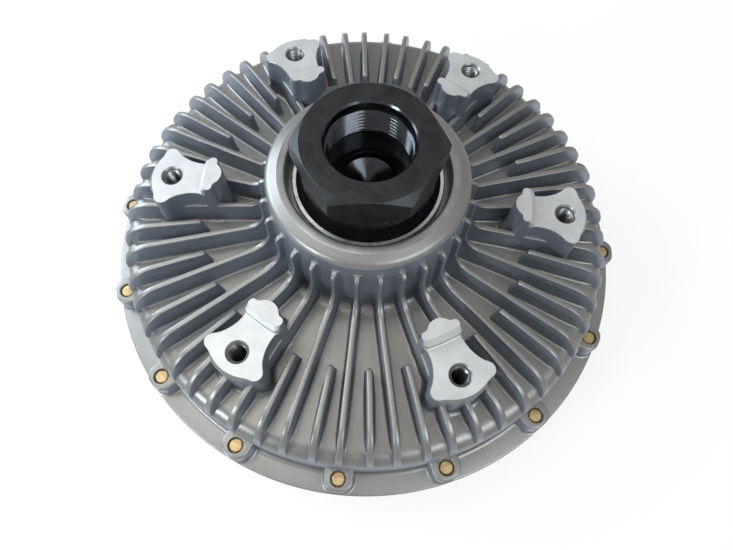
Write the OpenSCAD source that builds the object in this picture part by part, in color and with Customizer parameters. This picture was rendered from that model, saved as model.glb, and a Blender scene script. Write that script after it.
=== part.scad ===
// Viscous fan clutch: a finned housing on a ball bearing, driven through silicone fluid by the rotor
// on the hex input shaft, with a bimetal coil in front that turns the fluid valve.
// The origin is the centre of the fan bolt circle on the machined pads. +Z points at the hex.

/* [Fan mount] */
// Bosses that carry the fan
boss_count = 6; // [4:1:8]
// Bolt circle of the fan
fan_bolt_circle = 178; // [172:0.5:186]
// Tapping hole of the fan bolts
fan_bolt_d = 6.8; // [5:0.1:8.5]
// Countersink at the mouth of each fan bolt hole
fan_bolt_mouth_d = 9.6; // [8.6:0.1:11]
// Depth of the fan bolt holes
fan_bolt_depth = 24; // [12:0.5:26]
// Pilot circle that centres the fan
pilot_d = 149; // [145:0.5:153]
// Height of the pilot shoulder above the pads
pilot_step_h = 5.5; // [3:0.5:8]
// Distance from a fan bolt to the outer end of its boss
boss_nose = 9.2; // [8:0.1:10]
// Half width of a boss across its ears
boss_ear_half_w = 15.2; // [13:0.1:16]
// Half width of a boss at its waist
boss_waist_half_w = 8.1; // [7:0.1:9]

/* [Rear housing] */
// Cooling fin pitches from boss to boss, an even number
fins_per_boss = 10; // [8:2:12]
// Fin tops below the pads
fin_top_drop = 9.5; // [7:0.5:13]
// Deepest floor between the fins, below the pads
floor_drop = 28; // [24:0.5:31]
// Fin thickness at the top
fin_top_t = 2.3; // [1.6:0.1:2.6]
// Fin thickness at the floor
fin_base_t = 3.8; // [3:0.1:4.4]
// Radius at which the short fins start
short_fin_r = 76.5; // [72:0.5:88]
// Angle by which the short fins stand past the middle between the long ones
short_fin_shift = 0.4; // [0:0.1:1]
// Radius that rounds the outer end of a fin top
fin_end_r = 11.5; // [8:0.5:13]
// Outer diameter of the drum under the fins
drum_d = 231; // [229:0.5:234]
// Width of the housing flange beyond the drum
rear_flange_w = 10.5; // [9.6:0.1:11.5]
// Top of the flange below the pads
flange_drop = 36.5; // [35:0.5:39]
// Thickness of the housing flange
rear_flange_t = 6; // [5.5:0.5:8]
// Wall of the castings
wall_t = 5; // [4:0.5:6]

/* [Hub] */
// Height of the hub's top ring above the pads
hub_h = 20.4; // [19:0.2:23]
// Outer diameter of the hub's flat top ring
hub_ring_d = 76.4; // [74.5:0.2:79]
// Outer diameter of the hub under its shoulder
hub_d = 87.4; // [86:0.2:92]

/* [Rim screws] */
// Screws that hold the two castings together
screw_count = 16; // [12:1:20]
// Distance of the rim screws from the drum's wall
screw_reach = 4; // [3.6:0.1:4.6]
// Diameter of the rim screws
screw_d = 6; // [5:0.5:6]
// Head diameter of the rim screws
screw_head_d = 10; // [8:0.5:10]
// Head height of the rim screws
screw_head_h = 6; // [4:0.5:7]
// Width of a screw lug
lug_w = 13; // [11:0.5:15]
// Height of a screw lug above the flange
lug_h = 3.5; // [2:0.5:5]

/* [Input shaft] */
// Width across the flats of the hex
hex_af = 55; // [53:1:56]
// Top of the hex above the pads
hex_top = 40.5; // [39:0.5:48]
// Angle of a hex corner from the first boss
hex_turn = 5.5; // [0:0.5:60]
// Minor diameter of the input thread
thread_minor_d = 33.8; // [30:0.1:35]
// Length of the input thread
thread_len = 15.5; // [12:0.5:16]
// Smooth mouth above the thread
mouth_len = 3.5; // [2:0.5:4.5]
// Diameter of the shaft's collar
collar_d = 65; // [64:0.5:67]
// Top of the collar above the pads
collar_top = 14.5; // [14:0.1:15]
// Thickness of the collar
collar_t = 3.5; // [3:0.1:3.7]
// Diameter of the pilot hole under the thread
pilot_hole_d = 23.4; // [18:0.1:25]
// Diameter of the splined end over its teeth
spline_d = 28.4; // [27.4:0.1:29]
// Teeth of the spline
spline_teeth = 12; // [8:1:14]

/* [Bearing] */
// Outer diameter of the bearing
bearing_od = 62; // [60:0.5:64]
// Bore of the bearing
bearing_id = 30; // [29.4:0.2:31]
// Width of the bearing
bearing_w = 23.8; // [22.8:0.2:25]
// Upper face of the bearing above the pads
bearing_top = 6.5; // [5.5:0.1:7]
// Diameter of the bearing balls
ball_d = 9; // [8:0.1:9.2]
// Balls in each of the two rows
balls_per_row = 13; // [9:1:14]

/* [Rotor] */
// Thickness of the rotor disc
disc_t = 6; // [4:0.5:9]
// Height of the fluid lands
land_h = 5.4; // [3:0.2:7]
// Radial gap between the rotor's lands and the housing's
land_gap = 0.4; // [0.3:0.05:0.9]
// Lands on each side of the rotor
land_count = 7; // [4:1:8]
// Radial gap between the rotor and the drum wall
rim_gap = 1; // [0.6:0.1:1.6]

/* [Front cover] */
// How far the cover flange stands out beyond the housing flange
cover_flange_out = 0.8; // [0:0.1:2]
// Thickness of the cover flange
cover_flange_t = 5.5; // [4:0.5:7]
// Wall of the cover under the lands
cover_wall_t = 6; // [5:0.5:8]
// Depth of the fluid reservoir
reservoir_depth = 10; // [8:0.5:14]
// Diameter of the reservoir plate
plate_d = 124; // [118:0.5:126]
// Thickness of the reservoir plate
plate_t = 1.5; // [1:0.1:2]
// Cooling fins on the cover, an even number
front_fin_count = 48; // [36:2:60]
// Inner diameter of the guard ring round the bimetal coil
guard_d = 66; // [64:0.5:72]

/* [Valve and bimetal] */
// Diameter of the valve shaft
valve_shaft_d = 8; // [6:0.2:9]
// Distance from the shaft to the gate that the valve arm covers
gate_r = 40; // [34:0.5:44]
// Width of the bimetal strip
coil_w = 8; // [5:0.5:11]
// Thickness of the bimetal strip
coil_t = 1; // [0.6:0.1:1.4]
// Turns of the bimetal coil
coil_turns = 4.5; // [3:0.5:5.5]
// Outer radius of the bimetal coil
coil_r = 26; // [24:0.5:27]

/* [Hidden] */
$fn = 96;

// Clearances
running_gap = 0.3;
seat_gap = 0.05;
thread_gap = 0.02;
land_end_gap = 0.6;
sunk = 0.5;

// Heights, from the hex end to the front
fin_top_z = -fin_top_drop;
floor_z = -floor_drop;
floor_dish = 2;
flange_top_z = -flange_drop;
joint_z = flange_top_z - rear_flange_t;
cover_flange_z = joint_z - cover_flange_t;
lug_top_z = flange_top_z + lug_h;
chamber_top_z = floor_z - wall_t;
disc_top_z = chamber_top_z - land_end_gap - land_h;
disc_bottom_z = disc_top_z - disc_t;
cover_face_z = disc_bottom_z - land_h - land_end_gap;
cover_outer_z = cover_face_z - cover_wall_t;
plate_gap = 2.5;
plate_screw_count = 4;
plate_screw_d = 3;
plate_top_z = disc_bottom_z - plate_gap;
plate_bottom_z = plate_top_z - plate_t;
reservoir_floor_z = plate_bottom_z - reservoir_depth;
pocket_floor_z = reservoir_floor_z - cover_wall_t - 1;
coil_gap = 2;
coil_top_z = pocket_floor_z - coil_gap;
coil_bottom_z = coil_top_z - coil_w;
coil_recess = 2;
front_tip_z = coil_bottom_z - coil_recess;

// Radii of the housing
bolt_r = fan_bolt_circle / 2;
pilot_r = pilot_d / 2;
drum_r = drum_d / 2;
flange_r = drum_r + rear_flange_w;
cover_flange_r = flange_r + cover_flange_out;
chamber_r = drum_r - wall_t + 0.1;
rotor_r = chamber_r - rim_gap;
spigot_t = 3.7;
spigot_h = 5;
spigot_r = chamber_r + spigot_t;
fin_end = drum_r - 1.2;
fin_root_z = floor_z - 1;
edge_r = 4.5;
edge_break = 0.6;
drum_foot_r = 1.5;
hub_foot_r = 66;
shoulder_round_r = 3.6;
shoulder_drop = 4.4;
hub_cone_top = hub_h - 7.5;
cone_power = 2.2;
cone_steps = 8;
mouth_chamfer = 0.8;
chamber_neck_r = 48;
chamber_cone_r = chamber_neck_r + 10;
fin_sweep_r = 17;
rib_root_r = hub_d / 2 - 2;
rib_end_r = hub_d / 2 + 1.2;
rib_top_z = hub_h - 9;
rib_top_t = fin_top_t - 0.4;
short_fin_slope = 2;
spigot_top_z = joint_z + spigot_h - running_gap;
o_ring_cord_r = 1;
o_ring_z = joint_z + 2.4;
o_ring_root_r = spigot_r - 2 * o_ring_cord_r - seat_gap;
fin_count = boss_count * fins_per_boss;
fin_step = 360 / fin_count;
screw_r = drum_r + screw_reach;

// Bearing
bearing_bottom = bearing_top - bearing_w;
bearing_mid = (bearing_top + bearing_bottom) / 2;
ball_r = ball_d / 2;
ball_pitch_r = (bearing_od + bearing_id) / 4;
row_offset = ball_r + 1.1;
inner_land_r = ball_pitch_r - ball_r + 1.1;
outer_land_r = ball_pitch_r + ball_r - 1.1;
seal_t = 1;
seal_inset = 0.2;
seal_seat_r = outer_land_r + 1;
ring_t = 1.8;
ring_depth = 2;
ring_mouth = 9;
hub_bore_r = bearing_od / 2 + seat_gap;
hub_hole_r = seal_seat_r - 0.6;
hub_step_t = 4.7;
hub_step_z = bearing_bottom - hub_step_t;
collar_r = collar_d / 2;
collar_bottom = collar_top - collar_t;
mouth_step_z = collar_bottom - 1;
hub_mouth_r = collar_r + 2;
shoulder_r = inner_land_r - 1;

// Input shaft
thread_r = thread_minor_d / 2;
thread_top = hex_top - mouth_len;
thread_bottom = thread_top - thread_len;
thread_depth = 1.1;
relief_len = 5.5;
relief_bottom = thread_bottom - relief_len;
hex_corner_r = hex_af / sqrt(3);
hex_face_r = hex_af / 2 - 0.2;
hex_blank_r = hex_corner_r + 0.5;
chamfer_slope = tan(30);
cove_r = 10.4;
cove_z = collar_top + 7.6;
cove_x = hex_af / 2 - 0.1 + cove_r;
pilot_hole_depth = 4;
drill_slope = tan(31);
spline_r = spline_d / 2;
spline_root_r = spline_r - 1.8;
spline_tooth_w = 3.4;
spline_gap = 0.05;

// Rotor
rotor_hub_r = 24;
rotor_hub_top = hub_step_z - 2.5;
rotor_hub_bottom = disc_bottom_z + 2;
clip_t = 1.5;
clip_mouth = 7;
clip_groove_r = spline_root_r - 1;
shaft_end_z = rotor_hub_bottom - clip_t - 1.6;
feed_hole_r = 60;
feed_hole_d = 8;
feed_holes = 8;

// Front cover
cover_drum_r = drum_r - 1.5;
reservoir_r = plate_d / 2 - 7;
seat_rim_t = 3.3;
seat_rim_top = disc_bottom_z - 1.2;
plate_seat_r = plate_d / 2 + seat_gap;
seat_rim_r = plate_seat_r + seat_rim_t;
centre_outer_z = pocket_floor_z + 1;
centre_root_z = centre_outer_z + 1;
guard_r = guard_d / 2;
guard_t = 5;
cover_step_r = seat_rim_r + 1;

// Fluid lands, which fill the space from the reservoir's rim to the rotor's rim
land_start_r = seat_rim_r + 1.35;
land_end_r = rotor_r - 4.3;
land_pitch = (land_end_r - land_start_r + land_gap) / (land_count - 0.5);
land_t = land_pitch / 2 - land_gap;
land_r = land_start_r + land_t / 2;

// Front cover, from its outer side
passage_turn = 15;
port_r = chamber_r - 2.9;
port_d = 3;
plug_d = 4.6;
plug_len = 4;
return_z = cover_face_z - cover_wall_t / 2;
wiper_len = 9;
wiper_t = 3.8;
wiper_pocket = 1;
fill_r = 46;
fill_d = 6;
plate_screw_len = 5.5;
plate_head_r = plate_screw_d * 0.93;
plate_head_h = 1.2;

// Valve
valve_r = valve_shaft_d / 2;
bush_t = 2;
bush_r = valve_r + bush_t;
bush_len = 6.5;
valve_bore_r = bush_r + thread_gap;
valve_boss_r = bush_r + 3.5;
valve_boss_top = reservoir_floor_z + 5;
arm_t = 1.2;
arm_top_z = plate_bottom_z - running_gap;
arm_bottom_z = arm_top_z - arm_t;
arm_w = 9;
gate_d = 7;
gate_pad_r = gate_d / 2 + 2.5;
stub_r = valve_r - 1;
seal_cord_r = bush_t / 2 - thread_gap;
clip_r = valve_r + 2.5;
clip_root_r = valve_r - 0.8;
valve_clip_t = 1.2;
shaft_tip_z = coil_bottom_z - 0.5;
coil_start_r = valve_r + 2;
coil_steps = 20;
post_d = 7;
post_r = coil_r + post_d / 2 - 1.5;
post_stem_r = post_d / 2 - 1;
post_stem_h = 3.8;

// Points of an arc, for the profiles
function arc(cx, cy, r, from, to, steps = 6) =
    [for (i = [0:steps]) let (a = from + (to - from) * i / steps) [cx + r * cos(a), cy + r * sin(a)]];

// Copies about the axis
module around(count, start = 0) {
    for (i = [0:count - 1]) rotate([0, 0, start + i * 360 / count]) children();
}

// A plain ring between two radii and two heights
module ring(r_out, r_in, z0, z1) {
    translate([0, 0, z0]) difference() {
        cylinder(r = r_out, h = z1 - z0);
        translate([0, 0, -1]) cylinder(r = r_in, h = z1 - z0 + 2);
    }
}

// A straight hole along Z
module hole(r, z0, z1) {
    translate([0, 0, z0]) cylinder(r = r, h = z1 - z0);
}

// Concentric lands that stand on a face
module lands(r0, count, z0, z1) {
    for (i = [0:count - 1]) let (r = r0 + i * land_pitch) ring(r + land_t / 2, r - land_t / 2, z0, z1);
}

// Section across a cast fin: drafted sides and a softened top, from height a to height b
function fin_section(a, b, top_w, base_w) = let (edge = 0.3 * top_w * sign(b - a)) [
    [-base_w / 2, a], [base_w / 2, a], [top_w / 2, b - edge], [top_w / 4, b], [-top_w / 4, b],
    [-top_w / 2, b - edge]
];

// A radial fin: its side outline in radius and height, cut to the drafted section
module cast_fin(side, a, b, reach, top_w, base_w) {
    intersection() {
        rotate([90, 0, 0]) linear_extrude(base_w * 2, center = true) polygon(side);
        rotate([90, 0, 90]) linear_extrude(reach) polygon(fin_section(a, b, top_w, base_w));
    }
}

// Concave hub cone: share 0 is under the shoulder and share 1 at the floor
function hub_cone_point(share) = [
    hub_d / 2 + (hub_foot_r - hub_d / 2) * pow(share, cone_power),
    hub_cone_top + (floor_z + floor_dish - hub_cone_top) * share
];

// Outer profile of the rear casting, from the flange up to the hub
function rear_outer() = concat(
    [[flange_r, joint_z], [flange_r, flange_top_z - edge_break]],
    [[flange_r - edge_break, flange_top_z]],
    arc(drum_r + drum_foot_r, flange_top_z + drum_foot_r, drum_foot_r, 270, 180, 4),
    arc(drum_r - edge_r, floor_z + floor_dish - edge_r, edge_r, 0, 90, 6),
    [[(drum_r + hub_foot_r) / 2, floor_z]],
    [for (i = [0:cone_steps]) hub_cone_point(1 - i / cone_steps)],
    arc(hub_d / 2 - shoulder_round_r, hub_h - shoulder_drop, shoulder_round_r, 0, 70, 5),
    [[hub_ring_d / 2 + edge_break, hub_h - edge_break], [hub_ring_d / 2, hub_h]],
    [[hub_mouth_r + mouth_chamfer, hub_h]]
);

// Inner profile of the rear casting, from the hub mouth down to the joint
function rear_inner() = [
    [hub_mouth_r, hub_h - mouth_chamfer], [hub_mouth_r, mouth_step_z], [hub_bore_r, mouth_step_z],
    [hub_bore_r, bearing_bottom], [hub_hole_r, bearing_bottom], [hub_hole_r, hub_step_z],
    [chamber_neck_r, hub_step_z], [chamber_cone_r, chamber_top_z], [chamber_r, chamber_top_z],
    [chamber_r, joint_z + spigot_h], [spigot_r, joint_z + spigot_h], [spigot_r, joint_z]
];

// Side outline of a long fin, which sweeps up the hub cone at its inner end
function long_fin_side() = concat(
    [[rib_root_r, fin_root_z]],
    hub_rib_edge(),
    arc(fin_end - fin_end_r, fin_top_z - fin_end_r, fin_end_r, 90, 0, 7),
    [[fin_end, fin_root_z]]
);

// The sweep of a long fin's top edge, down the hub cone to the level fin top
function hub_rib_edge() = concat(
    [[rib_root_r, rib_top_z], [rib_end_r, rib_top_z - 1]],
    arc(rib_end_r + fin_sweep_r, fin_top_z + fin_sweep_r, fin_sweep_r, 195, 270, 7)
);

// The stretch of a long fin above the fin tops, which runs out as a rib under the hub shoulder
function hub_rib_side() = concat(
    [[rib_root_r, fin_top_z - 1]],
    hub_rib_edge(),
    [[rib_end_r + fin_sweep_r, fin_top_z - 1]]
);

// The short fins' turn off the middle, which the ones that come out of a boss don't have
function short_fin_turn(i) = i % fins_per_boss == 0 ? 0 : short_fin_shift;

// Side outline of a short fin
function short_fin_side() = concat(
    [[short_fin_r - short_fin_slope, fin_root_z]],
    arc(short_fin_r + 1, fin_top_z - 1, 1, 170, 90, 2),
    arc(fin_end - fin_end_r, fin_top_z - fin_end_r, fin_end_r, 90, 0, 7),
    [[fin_end, fin_root_z]]
);

// Plan of a fan boss: nose and ears round the bolt, concave flanks and a waist
module boss_plan() {
    ear_r = 3.7;
    ear_x = bolt_r + 2.2;
    ear_y = boss_ear_half_w - ear_r;
    nose_r = 27;
    nose_half_w = 8.3;
    flank_r = 18;
    waist_x = (pilot_r + bolt_r) / 2 - 3.75;
    difference() {
        union() {
            intersection() {
                translate([bolt_r + boss_nose - nose_r, 0]) circle(r = nose_r);
                translate([bolt_r, -nose_half_w]) square([boss_nose + 1, 2 * nose_half_w]);
            }
            for (side = [-1, 1]) translate([ear_x, side * ear_y]) circle(r = ear_r);
            translate([pilot_r - 1, -ear_y]) square([ear_x + ear_r - pilot_r + 1, 2 * ear_y]);
        }
        for (side = [-1, 1]) translate([waist_x, side * (boss_waist_half_w + flank_r)]) circle(r = flank_r);
    }
}

// Plan of the raised pilot part of a boss: two lobes and an inner nose inside the pilot circle
module pilot_plan() {
    lobe_r = 1.9;
    lobe_y = 7.9;
    nose_r = 7;
    intersection() {
        circle(r = pilot_r);
        union() {
            translate([pilot_r - 0.7, 0]) circle(r = nose_r);
            for (side = [-1, 1]) translate([pilot_r - 1.6, side * lobe_y]) circle(r = lobe_r);
            translate([pilot_r - 3.5, -lobe_y]) square([4.5, 2 * lobe_y]);
        }
    }
}

module fan_boss() {
    translate([0, 0, fin_root_z]) linear_extrude(-fin_root_z) boss_plan();
    translate([0, 0, fin_root_z]) linear_extrude(pilot_step_h - fin_root_z) pilot_plan();
}

module fan_bolt_hole() {
    thread_r0 = fan_bolt_d / 2;
    mouth_r = fan_bolt_mouth_d / 2;
    translate([bolt_r, 0, 0]) rotate_extrude() polygon([
        [0, -fan_bolt_depth - thread_r0 * drill_slope], [thread_r0, -fan_bolt_depth],
        [thread_r0, thread_r0 - mouth_r], [mouth_r, 0], [mouth_r, 1], [0, 1]
    ]);
}

// Screw lug: a raised block on the flange with rounded outer corners
module screw_lug() {
    corner = 4;
    reach = screw_r + 6 - corner;
    translate([0, 0, flange_top_z - sunk]) linear_extrude(lug_h + sunk) union() {
        translate([chamber_r + 2, -lug_w / 2]) square([reach - chamber_r - 2, lug_w]);
        translate([reach - corner, corner - lug_w / 2]) square([2 * corner, lug_w - 2 * corner]);
        for (side = [-1, 1]) translate([reach, side * (lug_w / 2 - corner)]) circle(r = corner);
    }
}

module lug_hole() {
    recess = 1.1;
    tapped_r = screw_d / 2 + thread_gap;
    translate([screw_r, 0, 0]) rotate_extrude() polygon([
        [0, joint_z - 1], [tapped_r, joint_z - 1], [tapped_r, lug_top_z - recess],
        [tapped_r + recess, lug_top_z], [tapped_r + recess, lug_top_z + 1], [0, lug_top_z + 1]
    ]);
}

module rear_housing() {
    color("#9aa0a8") difference() {
        union() {
            rotate_extrude() polygon(concat(rear_outer(), rear_inner()));
            for (i = [1:2:fin_count - 1]) rotate([0, 0, i * fin_step]) {
                cast_fin(long_fin_side(), fin_root_z, fin_top_z, drum_r, fin_top_t, fin_base_t);
                cast_fin(hub_rib_side(), fin_top_z - 1, rib_top_z, hub_foot_r, rib_top_t, fin_top_t);
            }
            for (i = [0:2:fin_count - 2]) rotate([0, 0, i * fin_step + short_fin_turn(i)])
                cast_fin(short_fin_side(), fin_root_z, fin_top_z, drum_r, fin_top_t, fin_base_t);
            around(boss_count) fan_boss();
            around(screw_count) screw_lug();
            lands(land_r + land_pitch / 2, land_count - 1, chamber_top_z - land_h, chamber_top_z + sunk);
        }
        around(boss_count) fan_bolt_hole();
        around(screw_count) lug_hole();
        ring(hub_bore_r + ring_depth, hub_bore_r - 1, bearing_top, bearing_top + ring_t + 2 * seat_gap);
    }
}

// Profile of the front casting, from its spigot round the outside to the reservoir
function cover_profile() = concat(
    [[chamber_r, spigot_top_z], [spigot_r - seat_gap, spigot_top_z], [spigot_r - seat_gap, joint_z]],
    [[cover_flange_r - edge_break, joint_z], [cover_flange_r, joint_z - edge_break]],
    [[cover_flange_r, cover_flange_z + edge_break], [cover_flange_r - edge_break, cover_flange_z]],
    [[cover_drum_r, cover_flange_z]],
    arc(cover_drum_r - edge_r, cover_outer_z + edge_r, edge_r, 0, -90, 5),
    [[cover_step_r, cover_outer_z], [reservoir_r + 3, centre_outer_z], [guard_r + guard_t, centre_outer_z]],
    [[guard_r + guard_t, front_tip_z], [guard_r, front_tip_z], [guard_r, pocket_floor_z]],
    [[valve_bore_r, pocket_floor_z], [valve_bore_r, valve_boss_top], [valve_boss_r, valve_boss_top]],
    [[valve_boss_r, reservoir_floor_z], [reservoir_r, reservoir_floor_z], [reservoir_r, plate_bottom_z]],
    [[plate_seat_r, plate_bottom_z], [plate_seat_r, seat_rim_top], [seat_rim_r, seat_rim_top]],
    [[seat_rim_r, cover_face_z], [chamber_r, cover_face_z]]
);

// Side outline of a fin on the cover, whose tip is level with the guard ring
function front_fin_side() = concat(
    [[cover_step_r - 1, cover_outer_z + 1], [cover_step_r - 1, front_tip_z]],
    arc(cover_drum_r - 2 - fin_end_r, front_tip_z + fin_end_r, fin_end_r, 270, 360, 7),
    [[cover_drum_r - 2, cover_outer_z + 1]]
);

// Side outline of the inner stretch that every second fin has, from the guard ring outwards
function centre_fin_side() = [
    [guard_r + guard_t - 1, centre_root_z], [cover_step_r + 1, centre_root_z],
    [cover_step_r + 1, front_tip_z], [guard_r + guard_t - 1, front_tip_z]
];

module cover_screw_hole() {
    translate([screw_r, 0, 0]) hole(screw_d / 2 + running_gap, cover_flange_z - 1, joint_z + 1);
}

module plate_screw_places() {
    around(plate_screw_count, 45) translate([(plate_d / 2 + reservoir_r) / 2, 0, 0]) children();
}

// Fluid return: a port behind the wiper and a radial passage into the reservoir, plugged at the rim
module return_passage() {
    translate([port_r, 0, 0]) hole(port_d / 2, return_z, cover_face_z + 1);
    translate([reservoir_r - 2, 0, return_z]) rotate([0, 90, 0])
        cylinder(d = port_d, h = cover_drum_r - reservoir_r);
    translate([cover_drum_r - plug_len, 0, return_z]) rotate([0, 90, 0])
        cylinder(d = plug_d + 2 * thread_gap, h = plug_len + 5);
    wiper_place() wiper_block(thread_gap);
}

module front_cover() {
    color("#8f959c") difference() {
        union() {
            rotate_extrude() polygon(cover_profile());
            for (i = [0:front_fin_count - 1]) rotate([0, 0, (i + 0.5) * 360 / front_fin_count]) {
                cast_fin(front_fin_side(), cover_outer_z + 1, front_tip_z, drum_r, fin_top_t, fin_base_t);
                if (i % 2 == 0) {
                    cast_fin(centre_fin_side(), centre_root_z, front_tip_z, drum_r, fin_top_t, fin_base_t);
                }
            }
            lands(land_r + land_pitch / 2, land_count - 1, cover_face_z - sunk, cover_face_z + land_h);
        }
        around(screw_count) cover_screw_hole();
        ring(spigot_r + 1, o_ring_root_r, o_ring_z - 1.2 * o_ring_cord_r, o_ring_z + 1.2 * o_ring_cord_r);
        plate_screw_places()
            hole(plate_screw_d / 2 + thread_gap, plate_bottom_z - plate_screw_len - sunk, plate_bottom_z + 1);
        rotate([0, 0, passage_turn]) return_passage();
        rotate([0, 0, 180]) translate([fill_r, 0, 0])
            hole(fill_d / 2 + thread_gap, centre_outer_z - 1, reservoir_floor_z + 1);
        translate([post_r, 0, 0])
            hole(post_stem_r + thread_gap, pocket_floor_z - 1, pocket_floor_z + post_stem_h + running_gap);
    }
}

module rim_screw() {
    edge = 0.5;
    head_r = screw_head_d / 2;
    head_z = cover_flange_z - screw_head_h;
    shank_r = screw_d / 2;
    socket_r = screw_d * 0.48;
    end_z = lug_top_z - 0.4;
    translate([screw_r, 0, 0]) difference() {
        rotate_extrude() polygon([
            [0, head_z], [head_r - edge, head_z], [head_r, head_z + edge], [head_r, cover_flange_z],
            [shank_r, cover_flange_z], [shank_r, end_z - edge], [shank_r - edge, end_z], [0, end_z]
        ]);
        translate([0, 0, head_z - 1]) cylinder(r = socket_r, h = screw_head_h / 2 + 1, $fn = 6);
    }
}

module rim_screws() {
    color("#c9a64e") around(screw_count) rim_screw();
}

module housing_o_ring() {
    color("#1d1d1f") rotate_extrude()
        translate([spigot_r - o_ring_cord_r - thread_gap, o_ring_z])
            circle(r = o_ring_cord_r - thread_gap / 2);
}

// Open spring ring with two plier holes in its ends
module spring_ring(r_out, r_in, z0, t, gap_w, lug_in) {
    mid = lug_in ? r_in + 0.5 : r_out - 0.5;
    difference() {
        union() {
            ring(r_out, r_in, z0, z0 + t);
            for (side = [-1, 1]) rotate([0, 0, side * asin((gap_w / 2 + 2) / mid)]) translate([mid, 0, z0])
                cylinder(r = 2.4, h = t);
        }
        translate([0, -gap_w / 2, z0 - 1]) cube([r_out + 5, gap_w, t + 2]);
        for (side = [-1, 1]) rotate([0, 0, side * asin((gap_w / 2 + 2) / mid)]) translate([mid, 0, z0 - 1])
            cylinder(r = 1, h = t + 2);
    }
}

module hub_retaining_ring() {
    color("#3a3c40") spring_ring(hub_bore_r + ring_depth - seat_gap, hub_bore_r - 2.5,
        bearing_top + seat_gap, ring_t, ring_mouth, true);
}

module race_profile(r_in, r_out) {
    difference() {
        translate([r_in, bearing_bottom]) square([r_out - r_in, bearing_w]);
        for (side = [-1, 1])
            translate([ball_pitch_r, bearing_mid + side * row_offset]) circle(r = ball_r + seat_gap);
    }
}

module bearing_outer_race() {
    color("#b9bcc0") difference() {
        rotate_extrude() race_profile(outer_land_r, bearing_od / 2);
        hole(seal_seat_r, bearing_top - seal_inset - seal_t, bearing_top + 1);
        hole(seal_seat_r, bearing_bottom - 1, bearing_bottom + seal_inset + seal_t);
    }
}

module bearing_inner_race() {
    color("#b9bcc0") rotate_extrude() race_profile(bearing_id / 2, inner_land_r);
}

module ball_row(side) {
    translate([0, 0, bearing_mid + side * row_offset])
        around(balls_per_row) translate([ball_pitch_r, 0, 0]) children();
}

module bearing_balls() {
    color("#d5d8dc") for (side = [-1, 1]) ball_row(side) sphere(r = ball_r);
}

// Crown cages: closed towards the middle of the bearing, open towards the seals
module bearing_cages() {
    cage_t = 2.6;
    web = 0.9;
    closed = row_offset - ball_r - web;
    open = row_offset + ball_r * 0.6;
    color("#c2a15a") for (side = [-1, 1]) difference() {
        translate([0, 0, bearing_mid]) mirror([0, 0, side > 0 ? 0 : 1])
            ring(ball_pitch_r + cage_t / 2, ball_pitch_r - cage_t / 2, closed, open);
        ball_row(side) sphere(r = ball_r + seat_gap);
    }
}

module bearing_seals() {
    color("#2a2a2c") for (z = [bearing_top - seal_inset - seal_t, bearing_bottom + seal_inset])
        ring(seal_seat_r - seat_gap, inner_land_r + running_gap, z, z + seal_t);
}

// Teeth of the spline, wider and taller by the gap given
module spline_star(gap, z0, z1) {
    union() {
        hole(spline_root_r + gap, z0, z1);
        intersection() {
            hole(spline_r + gap, z0, z1);
            around(spline_teeth) translate([0, -spline_tooth_w / 2 - gap, z0])
                cube([spline_r + 1, spline_tooth_w + 2 * gap, z1 - z0]);
        }
    }
}

// What is milled off the turned blank to leave the hexagon
module hex_waste() {
    translate([0, 0, cove_z]) difference() {
        cylinder(r = hex_blank_r + 2, h = hex_top - cove_z + 1);
        translate([0, 0, -1]) rotate([0, 0, hex_turn])
            cylinder(r = hex_corner_r, h = hex_top - cove_z + 3, $fn = 6);
    }
}

// Journal, bearing shoulder, collar, the cove under the hex and the blank with its turned-off top edge
function shaft_profile() = let (
    journal_r = bearing_id / 2 - seat_gap,
    cove_low = asin((collar_top - cove_z) / cove_r),
    cove_high = acos((cove_x - hex_blank_r) / cove_r),
    corner_lift = (hex_blank_r - hex_face_r) * chamfer_slope
) concat(
    [[0, rotor_hub_top], [journal_r, rotor_hub_top], [journal_r, bearing_top], [shoulder_r, bearing_top]],
    [[shoulder_r, collar_bottom], [collar_r, collar_bottom], [collar_r, collar_top - edge_break]],
    [[collar_r - edge_break, collar_top]],
    arc(cove_x, cove_z, cove_r, 180 - cove_low, 180 - cove_high, 10),
    [[hex_blank_r, hex_top - corner_lift], [hex_face_r, hex_top], [0, hex_top]]
);

// Mouth, thread at its minor diameter, relief, and the pilot hole with its drilled end
function input_bore_profile() = let (
    wide_r = thread_r + thread_depth,
    pilot_hole_r = pilot_hole_d / 2,
    pilot_hole_z = relief_bottom - pilot_hole_depth
) [
    [0, pilot_hole_z - pilot_hole_r * drill_slope], [pilot_hole_r, pilot_hole_z],
    [pilot_hole_r, relief_bottom], [wide_r, relief_bottom],
    [wide_r, thread_bottom - thread_depth], [thread_r, thread_bottom],
    [thread_r, thread_top - thread_depth], [wide_r, thread_top], [wide_r, hex_top - edge_break],
    [wide_r + edge_break, hex_top], [wide_r + edge_break, hex_top + 1], [0, hex_top + 1]
];

module input_shaft() {
    color("#3b3d40") difference() {
        union() {
            rotate_extrude() polygon(shaft_profile());
            spline_star(0, shaft_end_z, rotor_hub_top + sunk);
        }
        hex_waste();
        rotate_extrude() polygon(input_bore_profile());
        ring(spline_r + 1, clip_groove_r, rotor_hub_bottom - clip_t - 2 * seat_gap, rotor_hub_bottom);
    }
}

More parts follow.
